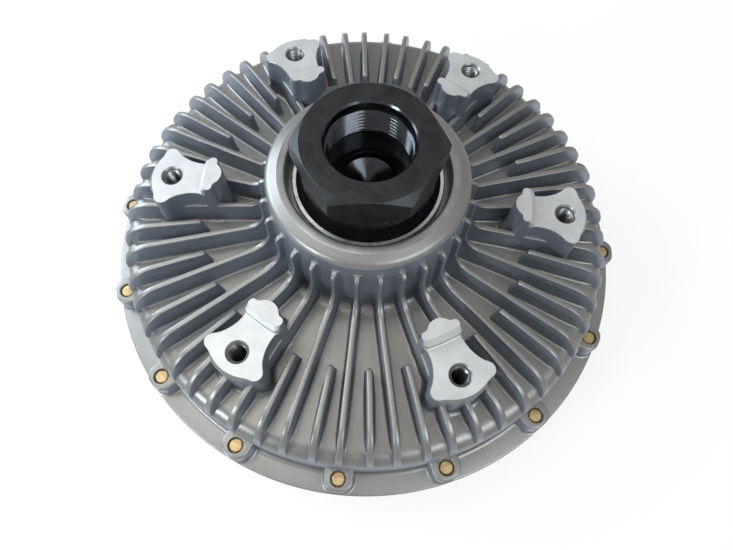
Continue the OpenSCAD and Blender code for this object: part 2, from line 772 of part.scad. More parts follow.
module rotor() {
    collar_end_z = bearing_bottom - seat_gap;
    color("#a7abb0") difference() {
        union() {
            rotate_extrude() polygon([
                [0, collar_end_z], [shoulder_r, collar_end_z], [shoulder_r, rotor_hub_top],
                [rotor_hub_r, rotor_hub_top], [rotor_hub_r + 4, disc_top_z],
                [rotor_r - edge_break, disc_top_z], [rotor_r, disc_top_z - edge_break],
                [rotor_r, disc_bottom_z + edge_break], [rotor_r - edge_break, disc_bottom_z],
                [rotor_hub_r + 2, disc_bottom_z], [rotor_hub_r, rotor_hub_bottom], [0, rotor_hub_bottom]
            ]);
            lands(land_r, land_count, disc_bottom_z - land_h, disc_bottom_z + sunk);
            lands(land_r, land_count, disc_top_z - sunk, disc_top_z + land_h);
        }
        hole(bearing_id / 2, rotor_hub_top, bearing_bottom + 1);
        spline_star(spline_gap, rotor_hub_bottom - 1, rotor_hub_top + 1);
        around(feed_holes)
            translate([feed_hole_r, 0, 0]) hole(feed_hole_d / 2, disc_bottom_z - 1, disc_top_z + 1);
    }
}

module rotor_retaining_ring() {
    color("#3a3c40") spring_ring(spline_r + 2.6, clip_groove_r + seat_gap,
        rotor_hub_bottom - clip_t - seat_gap, clip_t, clip_mouth, false);
}

module reservoir_plate() {
    color("#b3b6ba") difference() {
        hole(plate_d / 2, plate_bottom_z, plate_top_z);
        plate_screw_places() hole(plate_screw_d / 2 + 0.1, plate_bottom_z - 1, plate_top_z + 1);
        rotate([0, 0, 45]) translate([gate_r, 0, 0]) hole(gate_d / 2, plate_bottom_z - 1, plate_top_z + 1);
    }
}

module plate_screws() {
    color("#c9a64e") plate_screw_places() {
        hole(plate_screw_d / 2, plate_bottom_z - plate_screw_len, plate_top_z + sunk);
        hole(plate_head_r, plate_top_z, plate_top_z + plate_head_h);
    }
}

module wiper_block(gap) {
    translate([-wiper_t / 2 - gap, -gap, 0])
        cube([wiper_t + 2 * gap, wiper_len + 2 * gap, land_h + wiper_pocket]);
}

module wiper_place() {
    translate([port_r, -wiper_len - 2, cover_face_z - wiper_pocket]) children();
}

module pump_wiper() {
    color("#b08d4a") rotate([0, 0, passage_turn]) wiper_place() wiper_block(0);
}

module passage_plug() {
    color("#b9bcc0") rotate([0, 0, passage_turn]) translate([cover_drum_r - plug_len, 0, return_z])
        rotate([0, 90, 0]) cylinder(d = plug_d, h = plug_len - 0.6);
}

module fill_plug() {
    color("#b9bcc0") rotate([0, 0, 180]) translate([fill_r, 0, 0])
        hole(fill_d / 2, centre_outer_z, reservoir_floor_z);
}

module valve_bush() {
    color("#b08d4a") ring(bush_r, valve_r + seat_gap, pocket_floor_z, pocket_floor_z + bush_len);
}

module valve_o_ring() {
    color("#1d1d1f") rotate_extrude()
        translate([(valve_r + bush_r) / 2, pocket_floor_z + bush_len + seal_cord_r])
            circle(r = seal_cord_r);
}

module valve_shaft() {
    stop_r = bush_r + 1.5;
    stop_z = valve_boss_top + running_gap;
    slot_w = coil_t + 2 * seat_gap;
    groove_top = pocket_floor_z - running_gap;
    groove_bottom = groove_top - valve_clip_t - 2 * seat_gap;
    color("#9a9da2") difference() {
        rotate_extrude() polygon([
            [0, shaft_tip_z], [valve_r - edge_break, shaft_tip_z], [valve_r, shaft_tip_z + edge_break],
            [valve_r, groove_bottom], [clip_root_r, groove_bottom], [clip_root_r, groove_top],
            [valve_r, groove_top], [valve_r, stop_z], [stop_r, stop_z], [stop_r, arm_bottom_z],
            [stub_r, arm_bottom_z], [stub_r, arm_top_z], [0, arm_top_z]
        ]);
        rotate([0, 0, -coil_turns * 360]) translate([-valve_r - 1, -slot_w / 2, shaft_tip_z - 1])
            cube([2 * valve_r + 2, slot_w, coil_top_z - shaft_tip_z + 1 + seat_gap]);
    }
}

module valve_arm() {
    color("#c3c6ca") rotate([0, 0, 45]) translate([0, 0, arm_bottom_z]) difference() {
        union() {
            cylinder(r = valve_r + 3, h = arm_t);
            translate([0, -arm_w / 2, 0]) cube([gate_r, arm_w, arm_t]);
            translate([gate_r, 0, 0]) cylinder(r = gate_pad_r, h = arm_t);
        }
        translate([0, 0, -1]) cylinder(r = stub_r + thread_gap, h = arm_t + 2);
    }
}

module valve_retaining_ring() {
    color("#3a3c40") spring_ring(clip_r, clip_root_r + seat_gap,
        pocket_floor_z - running_gap - seat_gap - valve_clip_t, valve_clip_t, 3, false);
}

// Spiral strip from the slot in the valve shaft out to the anchor post
function spiral_point(i, offset) = let (
    share = i / (coil_turns * coil_steps),
    a = i * 360 / coil_steps,
    r = coil_start_r + (coil_r - coil_start_r) * share + offset
) [r * cos(a - coil_turns * 360), r * sin(a - coil_turns * 360)];

// Plan of the spiral strip, thicker on both sides by the gap given
module coil_plan(gap) {
    last = coil_turns * coil_steps;
    polygon(concat(
        [for (i = [0:last]) spiral_point(i, coil_t / 2 + gap)],
        [for (i = [last:-1:0]) spiral_point(i, -coil_t / 2 - gap)]
    ));
}

module bimetal_coil() {
    color("#b7a27a") translate([0, 0, coil_bottom_z]) linear_extrude(coil_w) union() {
        coil_plan(0);
        rotate([0, 0, -coil_turns * 360]) translate([-valve_r, -coil_t / 2])
            square([valve_r + coil_start_r, coil_t]);
    }
}

module coil_anchor_post() {
    color("#8a8d92") difference() {
        translate([post_r, 0, 0]) union() {
            hole(post_stem_r, pocket_floor_z, pocket_floor_z + post_stem_h);
            hole(post_d / 2, shaft_tip_z, pocket_floor_z);
        }
        translate([0, 0, coil_bottom_z - 1]) linear_extrude(coil_w + 1 + seat_gap) coil_plan(seat_gap);
    }
}

rear_housing();
front_cover();
rim_screws();
housing_o_ring();
hub_retaining_ring();
bearing_outer_race();
bearing_inner_race();
bearing_balls();
bearing_cages();
bearing_seals();
input_shaft();
rotor();
rotor_retaining_ring();
reservoir_plate();
plate_screws();
pump_wiper();
passage_plug();
fill_plug();
valve_bush();
valve_o_ring();
valve_shaft();
valve_arm();
valve_retaining_ring();
bimetal_coil();
coil_anchor_post();
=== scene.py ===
"""Looks of a viscous fan clutch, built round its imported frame.

The two castings, the input shaft and the bimetal coil are modelled here as soft meshes. The other
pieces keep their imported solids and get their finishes. Sizes in the classes are in millimetres.
"""

import logging
import math
from dataclasses import dataclass, field
from enum import Enum
from typing import Callable, Iterator, Sequence

import bmesh
import bpy
from mathutils import Matrix, Vector


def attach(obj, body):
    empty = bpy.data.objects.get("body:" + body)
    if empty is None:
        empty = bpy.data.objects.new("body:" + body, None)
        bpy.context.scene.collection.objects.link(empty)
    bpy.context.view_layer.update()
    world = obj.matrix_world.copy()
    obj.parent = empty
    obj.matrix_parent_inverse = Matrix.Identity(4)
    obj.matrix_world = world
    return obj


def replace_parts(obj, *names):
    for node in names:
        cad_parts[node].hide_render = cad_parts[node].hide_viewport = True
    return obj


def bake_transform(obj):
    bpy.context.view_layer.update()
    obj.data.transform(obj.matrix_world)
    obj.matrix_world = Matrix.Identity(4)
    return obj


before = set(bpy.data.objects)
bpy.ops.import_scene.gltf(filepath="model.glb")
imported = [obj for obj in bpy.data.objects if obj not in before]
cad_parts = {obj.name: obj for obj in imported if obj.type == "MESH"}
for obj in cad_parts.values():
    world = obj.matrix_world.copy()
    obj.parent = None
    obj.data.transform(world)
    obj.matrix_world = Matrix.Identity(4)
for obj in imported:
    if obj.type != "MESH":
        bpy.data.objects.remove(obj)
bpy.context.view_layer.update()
MM = 0.001
TURN = 2 * math.pi
TINY = 1e-4
log = logging.getLogger("fan_clutch")

Point = tuple[float, float]
Place = tuple[float, float, float]
Colour = tuple[float, float, float]
Pair = tuple[Point, Point]
# An arc as its middle, radius, first and last angle in degrees, and number of chords
Bow = tuple[Point, float, float, float, int]
Loop = Sequence[Sequence[float]]
Height = Callable[[float], float]


# Plane curves

def arc(centre: Point, radius: float, start: float, end: float, steps: int) -> list[Point]:
    """Points along an arc.

    Args:
        centre: Middle of the arc.
        radius: Its radius.
        start: Angle of the first point, in degrees.
        end: Angle of the last point, in degrees.
        steps: Number of chords.

    Returns:
        The points, first and last included.
    """
    angles = [math.radians(start + (end - start) * i / steps) for i in range(steps + 1)]
    return [(centre[0] + radius * math.cos(a), centre[1] + radius * math.sin(a)) for a in angles]


def blend(a: float, b: float, share: float) -> float:
    """Value between a and b."""
    return a + (b - a) * share


def smooth_ramp(share: float) -> float:
    """Eased share, level at both ends."""
    share = min(1.0, max(0.0, share))
    return share * share * (3 - 2 * share)


def averaged(before: Point, point: Point, after: Point) -> Point:
    """A point drawn towards its two neighbours."""
    return ((before[0] + 2 * point[0] + after[0]) / 4, (before[1] + 2 * point[1] + after[1]) / 4)


def evened(line: Sequence[Point], count: int) -> list[Point]:
    """An open line as evenly spaced points.

    Args:
        line: The line's corners.
        count: Number of points.

    Returns:
        The points, both ends of the line included.
    """
    lengths = [0.0]
    for a, b in zip(line, line[1:]):
        lengths.append(lengths[-1] + math.dist(a, b))
    made, k = [], 0
    for i in range(count):
        target = lengths[-1] * i / (count - 1)
        while k < len(line) - 2 and lengths[k + 1] < target:
            k += 1
        share = (target - lengths[k]) / max(lengths[k + 1] - lengths[k], TINY)
        made.append(tuple(blend(a, b, share) for a, b in zip(line[k], line[k + 1])))
    return made


def eased(line: Sequence[Point], passes: int) -> list[Point]:
    """An open line with its corners eased by averaging neighbours.

    Args:
        line: The line's points.
        passes: How often it is averaged.

    Returns:
        The new points, with both ends where they were.
    """
    now = list(line)
    for _ in range(passes):
        inner = [averaged(a, b, c) for a, b, c in zip(now, now[1:], now[2:])]
        now = [now[0]] + inner + [now[-1]]
    return now


def height_on(line: Sequence[Point], radius: float) -> float:
    """Height of a line at a radius.

    Args:
        line: Radii and heights, from the inside outwards.
        radius: Where the height is read.

    Returns:
        The height, or that of the line's start outside the line.
    """
    for a, b in zip(line, line[1:]):
        if a[0] <= radius <= b[0]:
            return blend(a[1], b[1], (radius - a[0]) / max(b[0] - a[0], TINY))
    return line[0][1]


@dataclass
class Outline:
    """A closed plane outline, run round anticlockwise."""

    points: list[Point]

    def resampled(self, count: int) -> "Outline":
        """The outline as evenly spaced points.

        Args:
            count: Number of points.

        Returns:
            The new outline, which starts at the same point.
        """
        ring = [Vector(p) for p in self.points] + [Vector(self.points[0])]
        lengths = [0.0]
        for a, b in zip(ring, ring[1:]):
            lengths.append(lengths[-1] + (b - a).length)
        made, k = [], 0
        for i in range(count):
            target = lengths[-1] * i / count
            while lengths[k + 1] < target:
                k += 1
            share = (target - lengths[k]) / max(lengths[k + 1] - lengths[k], TINY)
            made.append(tuple(ring[k].lerp(ring[k + 1], share)))
        return Outline(made)

    @staticmethod
    def trios(points: list[Point]) -> Iterator[tuple[Point, Point, Point]]:
        """Each point of a closed outline between its two neighbours."""
        return zip(points[-1:] + points[:-1], points, points[1:] + points[:1])

    def softened(self, passes: int) -> "Outline":
        """The outline with its corners eased by averaging neighbours.

        Args:
            passes: How often it is averaged.

        Returns:
            The new outline.
        """
        now = self.points
        for _ in range(passes):
            now = [averaged(a, b, c) for a, b, c in self.trios(now)]
        return Outline(now)

    def grown(self, distance: float) -> "Outline":
        """The outline moved outwards.

        Args:
            distance: How far it moves; a negative distance moves it inwards.

        Returns:
            The new outline.
        """
        made = []
        for a, b, c in self.trios(self.points):
            along = (Vector(c) - Vector(a)).normalized()
            made.append((b[0] + along.y * distance, b[1] - along.x * distance))
        return Outline(made)

    def pulled_to_circle(self, centre: Point, radius: float) -> "Outline":
        """A circle that has a point in the same direction as each point of the outline.

        Args:
            centre: Middle of the circle, inside the outline.
            radius: Its radius.

        Returns:
            The circle.
        """
        made = []
        for x, y in self.points:
            way = Vector((x - centre[0], y - centre[1])).normalized()
            made.append((centre[0] + radius * way.x, centre[1] + radius * way.y))
        return Outline(made)


# Meshes

def turned(profile: Sequence[Point], steps: int = 180) -> bmesh.types.BMesh:
    """A closed profile in radius and height, spun about Z.

    Args:
        profile: Corners of the profile, in order.
        steps: Facets of the full turn.

    Returns:
        The turned mesh.
    """
    mesh = bmesh.new()
    verts = [mesh.verts.new((r, 0.0, z)) for r, z in profile]
    edges = [mesh.edges.new(pair) for pair in zip(verts, verts[1:] + verts[:1])]
    bmesh.ops.spin(
        mesh,
        geom=verts + edges,
        cent=(0, 0, 0),
        axis=(0, 0, 1),
        angle=TURN,
        steps=steps,
        use_merge=True,
    )
    bmesh.ops.remove_doubles(mesh, verts=mesh.verts, dist=TINY)
    return mesh


def woven(columns: int, rows: int, place: Callable[[int, int], Sequence[float]]) -> bmesh.types.BMesh:
    """A grid whose crossings are put where a function says, with its seams closed.

    Args:
        columns: Faces across.
        rows: Faces along.
        place: Gives the place of a crossing from its column and row.

    Returns:
        The mesh.
    """
    mesh = bmesh.new()
    made = bmesh.ops.create_grid(mesh, x_segments=columns, y_segments=rows, size=0.5)["verts"]
    for index, vert in enumerate(made):
        vert.co = place(index % (columns + 1), index // (columns + 1))
    bmesh.ops.remove_doubles(mesh, verts=mesh.verts, dist=TINY)
    return mesh


def lofted(loops: Sequence[Loop]) -> bmesh.types.BMesh:
    """A skin through closed loops of equally many points, capped at both ends.

    Args:
        loops: The loops in order, each with its points in the same order.

    Returns:
        The closed mesh.
    """
    count = len(loops[0])
    mesh = woven(count, len(loops) - 1, lambda column, row: loops[row][column % count])
    close_ends(mesh)
    return mesh


def close_ends(mesh: bmesh.types.BMesh) -> None:
    """Caps every open end of a mesh.

    Args:
        mesh: The mesh, which is changed.
    """
    rims = [e for e in mesh.edges if e.is_boundary]
    if rims:
        bmesh.ops.holes_fill(mesh, edges=rims, sides=0)


def verts_of(geometry: Sequence[object]) -> list[bmesh.types.BMVert]:
    """The vertices among some geometry."""
    return [g for g in geometry if isinstance(g, bmesh.types.BMVert)]


def repeated(mesh: bmesh.types.BMesh, angles: Sequence[float]) -> None:
    """Leaves a copy of a mesh at each angle about Z, in place of the mesh itself.

    Args:
        mesh: The mesh, which is changed.
        angles: The angles, in degrees.
    """
    first = mesh.verts[:] + mesh.edges[:] + mesh.faces[:]
    for angle in angles:
        copy = bmesh.ops.duplicate(mesh, geom=first)["geom"]
        turn = Matrix.Rotation(math.radians(angle), 3, "Z")
        bmesh.ops.rotate(mesh, verts=verts_of(copy), cent=(0, 0, 0), matrix=turn)
    bmesh.ops.delete(mesh, geom=verts_of(first), context="VERTS")


def threaded_lining(
    crest_r: float, root_r: float, pitch: float, low: float, high: float, columns: int, rows: int
) -> bmesh.types.BMesh:
    """The wall of a threaded hole: a thin sleeve whose inner side follows the helix.

    Args:
        crest_r: Radius at the crests, the smallest.
        root_r: Radius at the roots.
        pitch: Rise of one turn.
        low: Height of the sleeve's lower end.
        high: Height of its upper end.
        columns: Facets round it.
        rows: Rows of faces for one turn of the thread.

    Returns:
        The sleeve as a closed mesh.
    """
    wall, steep, crest_flat = 0.04, 2.4, 0.1
    steps = max(4, round((high - low) / pitch * rows))
    back_r = root_r + wall

    def place(column: int, row: int) -> Sequence[float]:
        """Inner side on the way up, outer side on the way back.

        Args:
            column: The crossing's column, counted round the hole.
            row: Its row, counted up the inner side and then down the outer.

        Returns:
            Its place.
        """
        angle = TURN * (column % columns) / columns
        if row > steps:
            z = blend(high, low, row - steps - 1)
            return (back_r * math.cos(angle), back_r * math.sin(angle), z)
        z = blend(low, high, row / steps)
        phase = (z / pitch - angle / TURN) % 1.0
        tooth = min(1.0, max(0.0, steep * abs(phase - 0.5) - crest_flat))
        fade = smooth_ramp((high - z) / pitch) * smooth_ramp((z - low) / pitch)
        radius = blend(root_r, crest_r, tooth * fade)
        return (radius * math.cos(angle), radius * math.sin(angle), z)

    mesh = woven(columns, steps + 2, place)
    rims = [e for e in mesh.edges if e.is_boundary]
    bmesh.ops.bridge_loops(mesh, edges=rims)
    return mesh


def piece(
    mesh: bmesh.types.BMesh,
    name: str,
    body: str,
    materials: Sequence[bpy.types.Material],
    crease: float = 32,
) -> bpy.types.Object:
    """Finishes a mesh in millimetres as a shown piece that rides on a body.

    Args:
        mesh: The mesh, which is used up.
        name: The piece's name.
        body: The body that it rides on, or nothing for one that rides on none.
        materials: Its finishes, in the order of its faces' material numbers.
        crease: Angle in degrees above which an edge stays sharp.

    Returns:
        The piece.
    """
    bmesh.ops.recalc_face_normals(mesh, faces=mesh.faces)
    bmesh.ops.scale(mesh, vec=(MM, MM, MM), verts=mesh.verts)
    limit = math.radians(crease)
    for face in mesh.faces:
        face.smooth = True
    for edge in mesh.edges:
        edge.smooth = edge.calc_face_angle(0) < limit
    data = bpy.data.meshes.new(name)
    mesh.to_mesh(data)
    mesh.free()
    for material in materials:
        data.materials.append(material)
    made = bpy.data.objects.new(name, data)
    bpy.context.scene.collection.objects.link(made)
    if body:
        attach(made, body)
    log.info("%s: %d faces", name, len(data.polygons))
    return made


# Shader writing

@dataclass
class Wire:
    """A value in a shader, on which sums can be written."""

    shade: "Shade"
    socket: bpy.types.NodeSocket

    def _maths(self, operation: str, left: object, right: object) -> "Wire":
        """One Math node."""
        return self.shade.wire("ShaderNodeMath", {"operation": operation}, {0: left, 1: right})

    def __add__(self, other: object) -> "Wire":
        """Sum."""
        return self._maths("ADD", self, other)

    def __radd__(self, other: object) -> "Wire":
        """Sum with a number on the left."""
        return self._maths("ADD", other, self)

    def __sub__(self, other: object) -> "Wire":
        """Difference."""
        return self._maths("SUBTRACT", self, other)

    def __rsub__(self, other: object) -> "Wire":
        """Difference with a number on the left."""
        return self._maths("SUBTRACT", other, self)

    def __mul__(self, other: object) -> "Wire":
        """Product."""
        return self._maths("MULTIPLY", self, other)

    def __rmul__(self, other: object) -> "Wire":
        """Product with a number on the left."""
        return self._maths("MULTIPLY", other, self)

    def most(self, other: "Wire") -> "Wire":
        """The greater of two values."""
        return self._maths("MAXIMUM", self, other)

    def ramp(self, low: float, high: float) -> "Wire":
        """Share that rises smoothly between two values.

        Args:
            low: Value up to which it is 0.
            high: Value from which it is 1.

        Returns:
            The share.
        """
        settings = {"interpolation_type": "SMOOTHSTEP"}
        inputs = {"Value": self, "From Min": low, "From Max": high}
        return self.shade.wire("ShaderNodeMapRange", settings, inputs)


class Shade:
    """The node tree of a material or the world while it is written."""

    MIX_SHARE = 0
    MIX_LOW = 6
    MIX_HIGH = 7
    MIX_COLOUR = 2

    def __init__(self, owner: bpy.types.ID) -> None:
        """Starts an empty tree.

        Args:
            owner: The material or the world that it belongs to.
        """
        owner.use_nodes = True
        self.owner = owner
        self.tree = owner.node_tree
        self.tree.nodes.clear()

    @classmethod
    def of_material(cls, name: str) -> "Shade":
        """An empty tree in a new material."""
        return cls(bpy.data.materials.new(name))

    def node(
        self, kind: str, settings: dict | None = None, inputs: dict | None = None
    ) -> bpy.types.Node:
        """Adds a node.

        Args:
            kind: The node's type.
            settings: Its properties, set first.
            inputs: Values or links of its sockets, by name or number.

        Returns:
            The node.
        """
        made = self.tree.nodes.new(kind)
        for key, value in (settings or {}).items():
            setattr(made, key, value)
        for key, value in (inputs or {}).items():
            if isinstance(value, Wire):
                self.tree.links.new(value.socket, made.inputs[key])
            else:
                made.inputs[key].default_value = value
        return made

    def wire(
        self,
        kind: str,
        settings: dict | None = None,
        inputs: dict | None = None,
        output: int | str = 0,
    ) -> Wire:
        """Adds a node and gives one of its outputs.

        Args:
            kind: The node's type.
            settings: Its properties, set first.
            inputs: Values or links of its sockets, by name or number.
            output: Name or number of the output.

        Returns:
            The output.
        """
        return Wire(self, self.node(kind, settings, inputs).outputs[output])

    def coordinates(self) -> Wire:
        """Object coordinates, in metres."""
        return self.wire("ShaderNodeTexCoord", output="Object")

    def axis(self, name: str) -> Wire:
        """One of X, Y and Z, in millimetres."""
        return self.wire("ShaderNodeSeparateXYZ", None, {0: self.coordinates()}, name) * (1 / MM)

    def facing_up(self) -> Wire:
        """The upward part of the surface's normal."""
        normal = self.wire("ShaderNodeTexCoord", output="Normal")
        return self.wire("ShaderNodeSeparateXYZ", None, {0: normal}, "Z")

    def radius(self) -> Wire:
        """Distance from the axis.

        Returns:
            The distance, in millimetres.
        """
        across = {0: self.coordinates(), 1: (1.0, 1.0, 0.0)}
        flat = self.wire("ShaderNodeVectorMath", {"operation": "MULTIPLY"}, across)
        reach = self.wire("ShaderNodeVectorMath", {"operation": "LENGTH"}, {0: flat}, "Value")
        return reach * (1 / MM)

    def noise(self, size: float, detail: float = 2.0, rough: float = 0.5) -> Wire:
        """Noise from 0 to 1.

        Args:
            size: Size of its grains, in millimetres.
            detail: Number of finer layers.
            rough: Strength of the finer layers.

        Returns:
            The noise.
        """
        inputs = {"Scale": 1 / (size * MM), "Detail": detail, "Roughness": rough}
        return self.wire("ShaderNodeTexNoise", None, {"Vector": self.coordinates(), **inputs})

    def ringed_noise(self, pitch: float) -> Wire:
        """Noise stretched round the axis, as the lines that a lathe tool leaves.

        Args:
            pitch: Width of a line, in millimetres.

        Returns:
            The noise.
        """
        inputs = {0: self.radius(), 1: self.axis("Z"), 2: 0.0}
        place = self.wire("ShaderNodeCombineXYZ", None, inputs)
        inputs = {"Vector": place, "Scale": 1 / pitch, "Detail": 2.0}
        return self.wire("ShaderNodeTexNoise", None, inputs)

    def mixed(self, share: Wire, low: Wire | tuple, high: Wire | tuple) -> Wire:
        """A Mix node of two colours by a share."""
        inputs = {self.MIX_SHARE: share, self.MIX_LOW: low, self.MIX_HIGH: high}
        return self.wire("ShaderNodeMix", {"data_type": "RGBA"}, inputs, self.MIX_COLOUR)

    def colour(self, share: Wire, low: Colour, high: Colour) -> Wire:
        """A colour between two, by a share."""
        return self.mixed(share, (*low, 1.0), (*high, 1.0))

    def tinted(self, share: Wire, under: Wire, over: Colour) -> Wire:
        """A colour laid over another by a share."""
        return self.mixed(share, under, (*over, 1.0))

    def bump(self, height: Wire, depth: float, strength: float = 1.0) -> Wire:
        """A normal from a height.

        Args:
            height: The height, from 0 to 1.
            depth: The height's full depth, in millimetres.
            strength: How much of it shows.

        Returns:
            The normal.
        """
        inputs = {"Height": height, "Distance": depth * MM, "Strength": strength}
        return self.wire("ShaderNodeBump", None, inputs)

    def surface(self, **sockets: object) -> bpy.types.Material:
        """Ends a material's tree with a Principled shader.

        Args:
            sockets: Values or links of its sockets, named with underscores.

        Returns:
            The material.
        """
        inputs = {key.replace("_", " "): value for key, value in sockets.items()}
        shader = self.wire("ShaderNodeBsdfPrincipled", None, inputs)
        self.node("ShaderNodeOutputMaterial", None, {"Surface": shader})
        return self.owner


# Finishes

@dataclass(frozen=True)
class CastSkin:
    """As-cast aluminium: satin with a fine grain; a painted reflection makes it lighter and cool on
    its walls, darker and warmer on its floors.
    """

    name: str
    # wall and floor are a painted reflection, not the metal's own colour: faces that stand upright
    # get the lighter, cool tone and faces that look up get the darker, warm one
    wall: Colour = (0.26, 0.285, 0.325)
    floor: Colour = (0.188, 0.184, 0.172)
    pit: Colour = (0.11, 0.11, 0.11)
    metal: float = 0.7
    rough: float = 0.37

    def material(self) -> bpy.types.Material:
        """Writes the finish as a node tree.

        Returns:
            The material.
        """
        shade = Shade.of_material(self.name)
        # Painted reflection: the colour goes from the wall tone to the floor tone as the face turns
        # upwards
        level = shade.facing_up().ramp(0.1, 0.65)
        cloud = shade.noise(22, 3.0)
        base = shade.colour(level, self.wall, self.floor)
        speck = shade.noise(1.3, 3.0, 0.7)
        base = shade.tinted((speck * 0.7 + cloud * 0.3).ramp(0.60, 0.78) * 0.55, base, self.pit)
        grain = shade.noise(0.55, 3.0, 0.6)
        skin = shade.noise(3.5, 2.0)
        return shade.surface(
            Base_Color=base,
            Metallic=self.metal,
            Roughness=self.rough + 0.16 * (cloud - 0.5) + 0.12 * (speck - 0.5),
            Normal=shade.bump(grain * 0.5 + skin, 0.12, 0.5),
        )


@dataclass(frozen=True)
class MachinedFace:
    """A milled or turned face: pale, with fine tool lines."""

    name: str
    pale: Colour = (0.46, 0.456, 0.444)
    dull: Colour = (0.39, 0.387, 0.377)
    metal: float = 0.5
    rough: float = 0.46
    turned: bool = False

    def material(self) -> bpy.types.Material:
        """Writes the finish as a node tree.

        Returns:
            The material.
        """
        shade = Shade.of_material(self.name)
        lines = shade.ringed_noise(0.5) if self.turned else shade.noise(0.8, 4.0, 0.7)
        stain = shade.noise(9, 3.0)
        level = (stain * 0.6 + lines * 0.4).ramp(0.35, 0.65)
        return shade.surface(
            Base_Color=shade.colour(level, self.dull, self.pale),
            Metallic=self.metal,
            Roughness=self.rough + 0.2 * (lines - 0.5),
            Normal=shade.bump(lines, 0.02, 0.4),
        )


@dataclass(frozen=True)
class DarkSteel:
    """Blackened steel of the input shaft: dull where it is flat, glossy where it was turned."""

    name: str
    low: Colour = (0.020, 0.021, 0.022)
    high: Colour = (0.034, 0.035, 0.036)
    metal: float = 0.9
    rough: float = 0.40

    def material(self) -> bpy.types.Material:
        """Writes the finish as a node tree.

        Returns:
            The material.
        """
        shade = Shade.of_material(self.name)
        stain = shade.noise(7, 4.0, 0.6)
        lines = shade.ringed_noise(0.35)
        level = (stain * 0.7 + lines * 0.3).ramp(0.3, 0.7)
        return shade.surface(
            Base_Color=shade.colour(level, self.low, self.high),
            Metallic=self.metal,
            Roughness=self.rough + 0.22 * (stain - 0.5),
            Normal=shade.bump(lines + stain, 0.015, 0.4),
        )


@dataclass(frozen=True)
class PlainMetal:
    """A bright or plated metal with slight streaks."""

    name: str
    low: Colour
    high: Colour
    metal: float = 1.0
    rough: float = 0.28
    streak: float = 1.5

    def material(self) -> bpy.types.Material:
        """Writes the finish as a node tree.

        Returns:
            The material.
        """
        shade = Shade.of_material(self.name)
        streaks = shade.ringed_noise(self.streak)
        stain = shade.noise(self.streak * 2, 3.0)
        level = (streaks * 0.5 + stain * 0.5).ramp(0.35, 0.65)
        return shade.surface(
            Base_Color=shade.colour(level, self.low, self.high),
            Metallic=self.metal,
            Roughness=self.rough + 0.15 * (stain - 0.5),
            Normal=shade.bump(streaks, 0.01, 0.3),
        )


@dataclass(frozen=True)
class SealRubber:
    """Matte black rubber with a fine grain."""

    name: str
    low: Colour = (0.012, 0.012, 0.013)
    high: Colour = (0.03, 0.03, 0.031)

    def material(self) -> bpy.types.Material:
        """Writes the finish as a node tree.

        Returns:
            The material.
        """
        shade = Shade.of_material(self.name)
        grain = shade.noise(0.6, 3.0)
        return shade.surface(
            Base_Color=shade.colour(grain, self.low, self.high),
            Roughness=0.62 + 0.2 * (grain - 0.5),
            Normal=shade.bump(grain, 0.02, 0.5),
        )


class Finish(Enum):
    """Every finish on the clutch."""

    REAR_CAST = CastSkin("rear_cast_skin")
    FRONT_CAST = CastSkin(
        "front_cast_skin",
        # The same painted reflection: faces that stand upright are cooler, faces that look up are
        # warmer
        wall=(0.20, 0.215, 0.24),
        floor=(0.21, 0.205, 0.195),
    )
    PAD = MachinedFace("machined_pad")
    TURNED_ALUMINIUM = MachinedFace(
        "turned_aluminium",
        pale=(0.27, 0.27, 0.27),
        dull=(0.20, 0.20, 0.20),
        metal=0.85,
        rough=0.34,
        turned=True,
    )
    BLACK_STEEL = DarkSteel("blackened_steel")
    BLACK_GLOSS = DarkSteel(
        "blackened_gloss",
        low=(0.03, 0.032, 0.036),
        high=(0.05, 0.053, 0.058),
        rough=0.16,
    )
    BARE_STEEL = PlainMetal("bare_steel", (0.42, 0.41, 0.38), (0.58, 0.57, 0.53))
    BRIGHT_STEEL = PlainMetal("bright_steel", (0.55, 0.56, 0.57), (0.70, 0.71, 0.72), rough=0.2)
    SPRING_STEEL = PlainMetal("spring_steel", (0.05, 0.052, 0.056), (0.09, 0.093, 0.1), rough=0.35)
    GOLD_ZINC = PlainMetal(
        "gold_zinc",
        (0.27, 0.19, 0.09),
        (0.41, 0.30, 0.155),
        metal=0.85,
        rough=0.42,
    )
    BRONZE = PlainMetal("bronze", (0.42, 0.28, 0.12), (0.56, 0.40, 0.20), rough=0.35)
    BIMETAL = PlainMetal("bimetal", (0.45, 0.38, 0.28), (0.58, 0.50, 0.38), rough=0.3)
    RUBBER = SealRubber("seal_rubber")


class Paintbox:
    """Makes each finish once."""

    def __init__(self) -> None:
        """Starts with no material made."""
        self._made: dict[Finish, bpy.types.Material] = {}

    def get(self, finish: Finish) -> bpy.types.Material:
        """The material of a finish, made when it is first asked for.

        Args:
            finish: The finish.

        Returns:
            Its material.
        """
        if finish not in self._made:
            self._made[finish] = finish.value.material()
        return self._made[finish]


# Castings

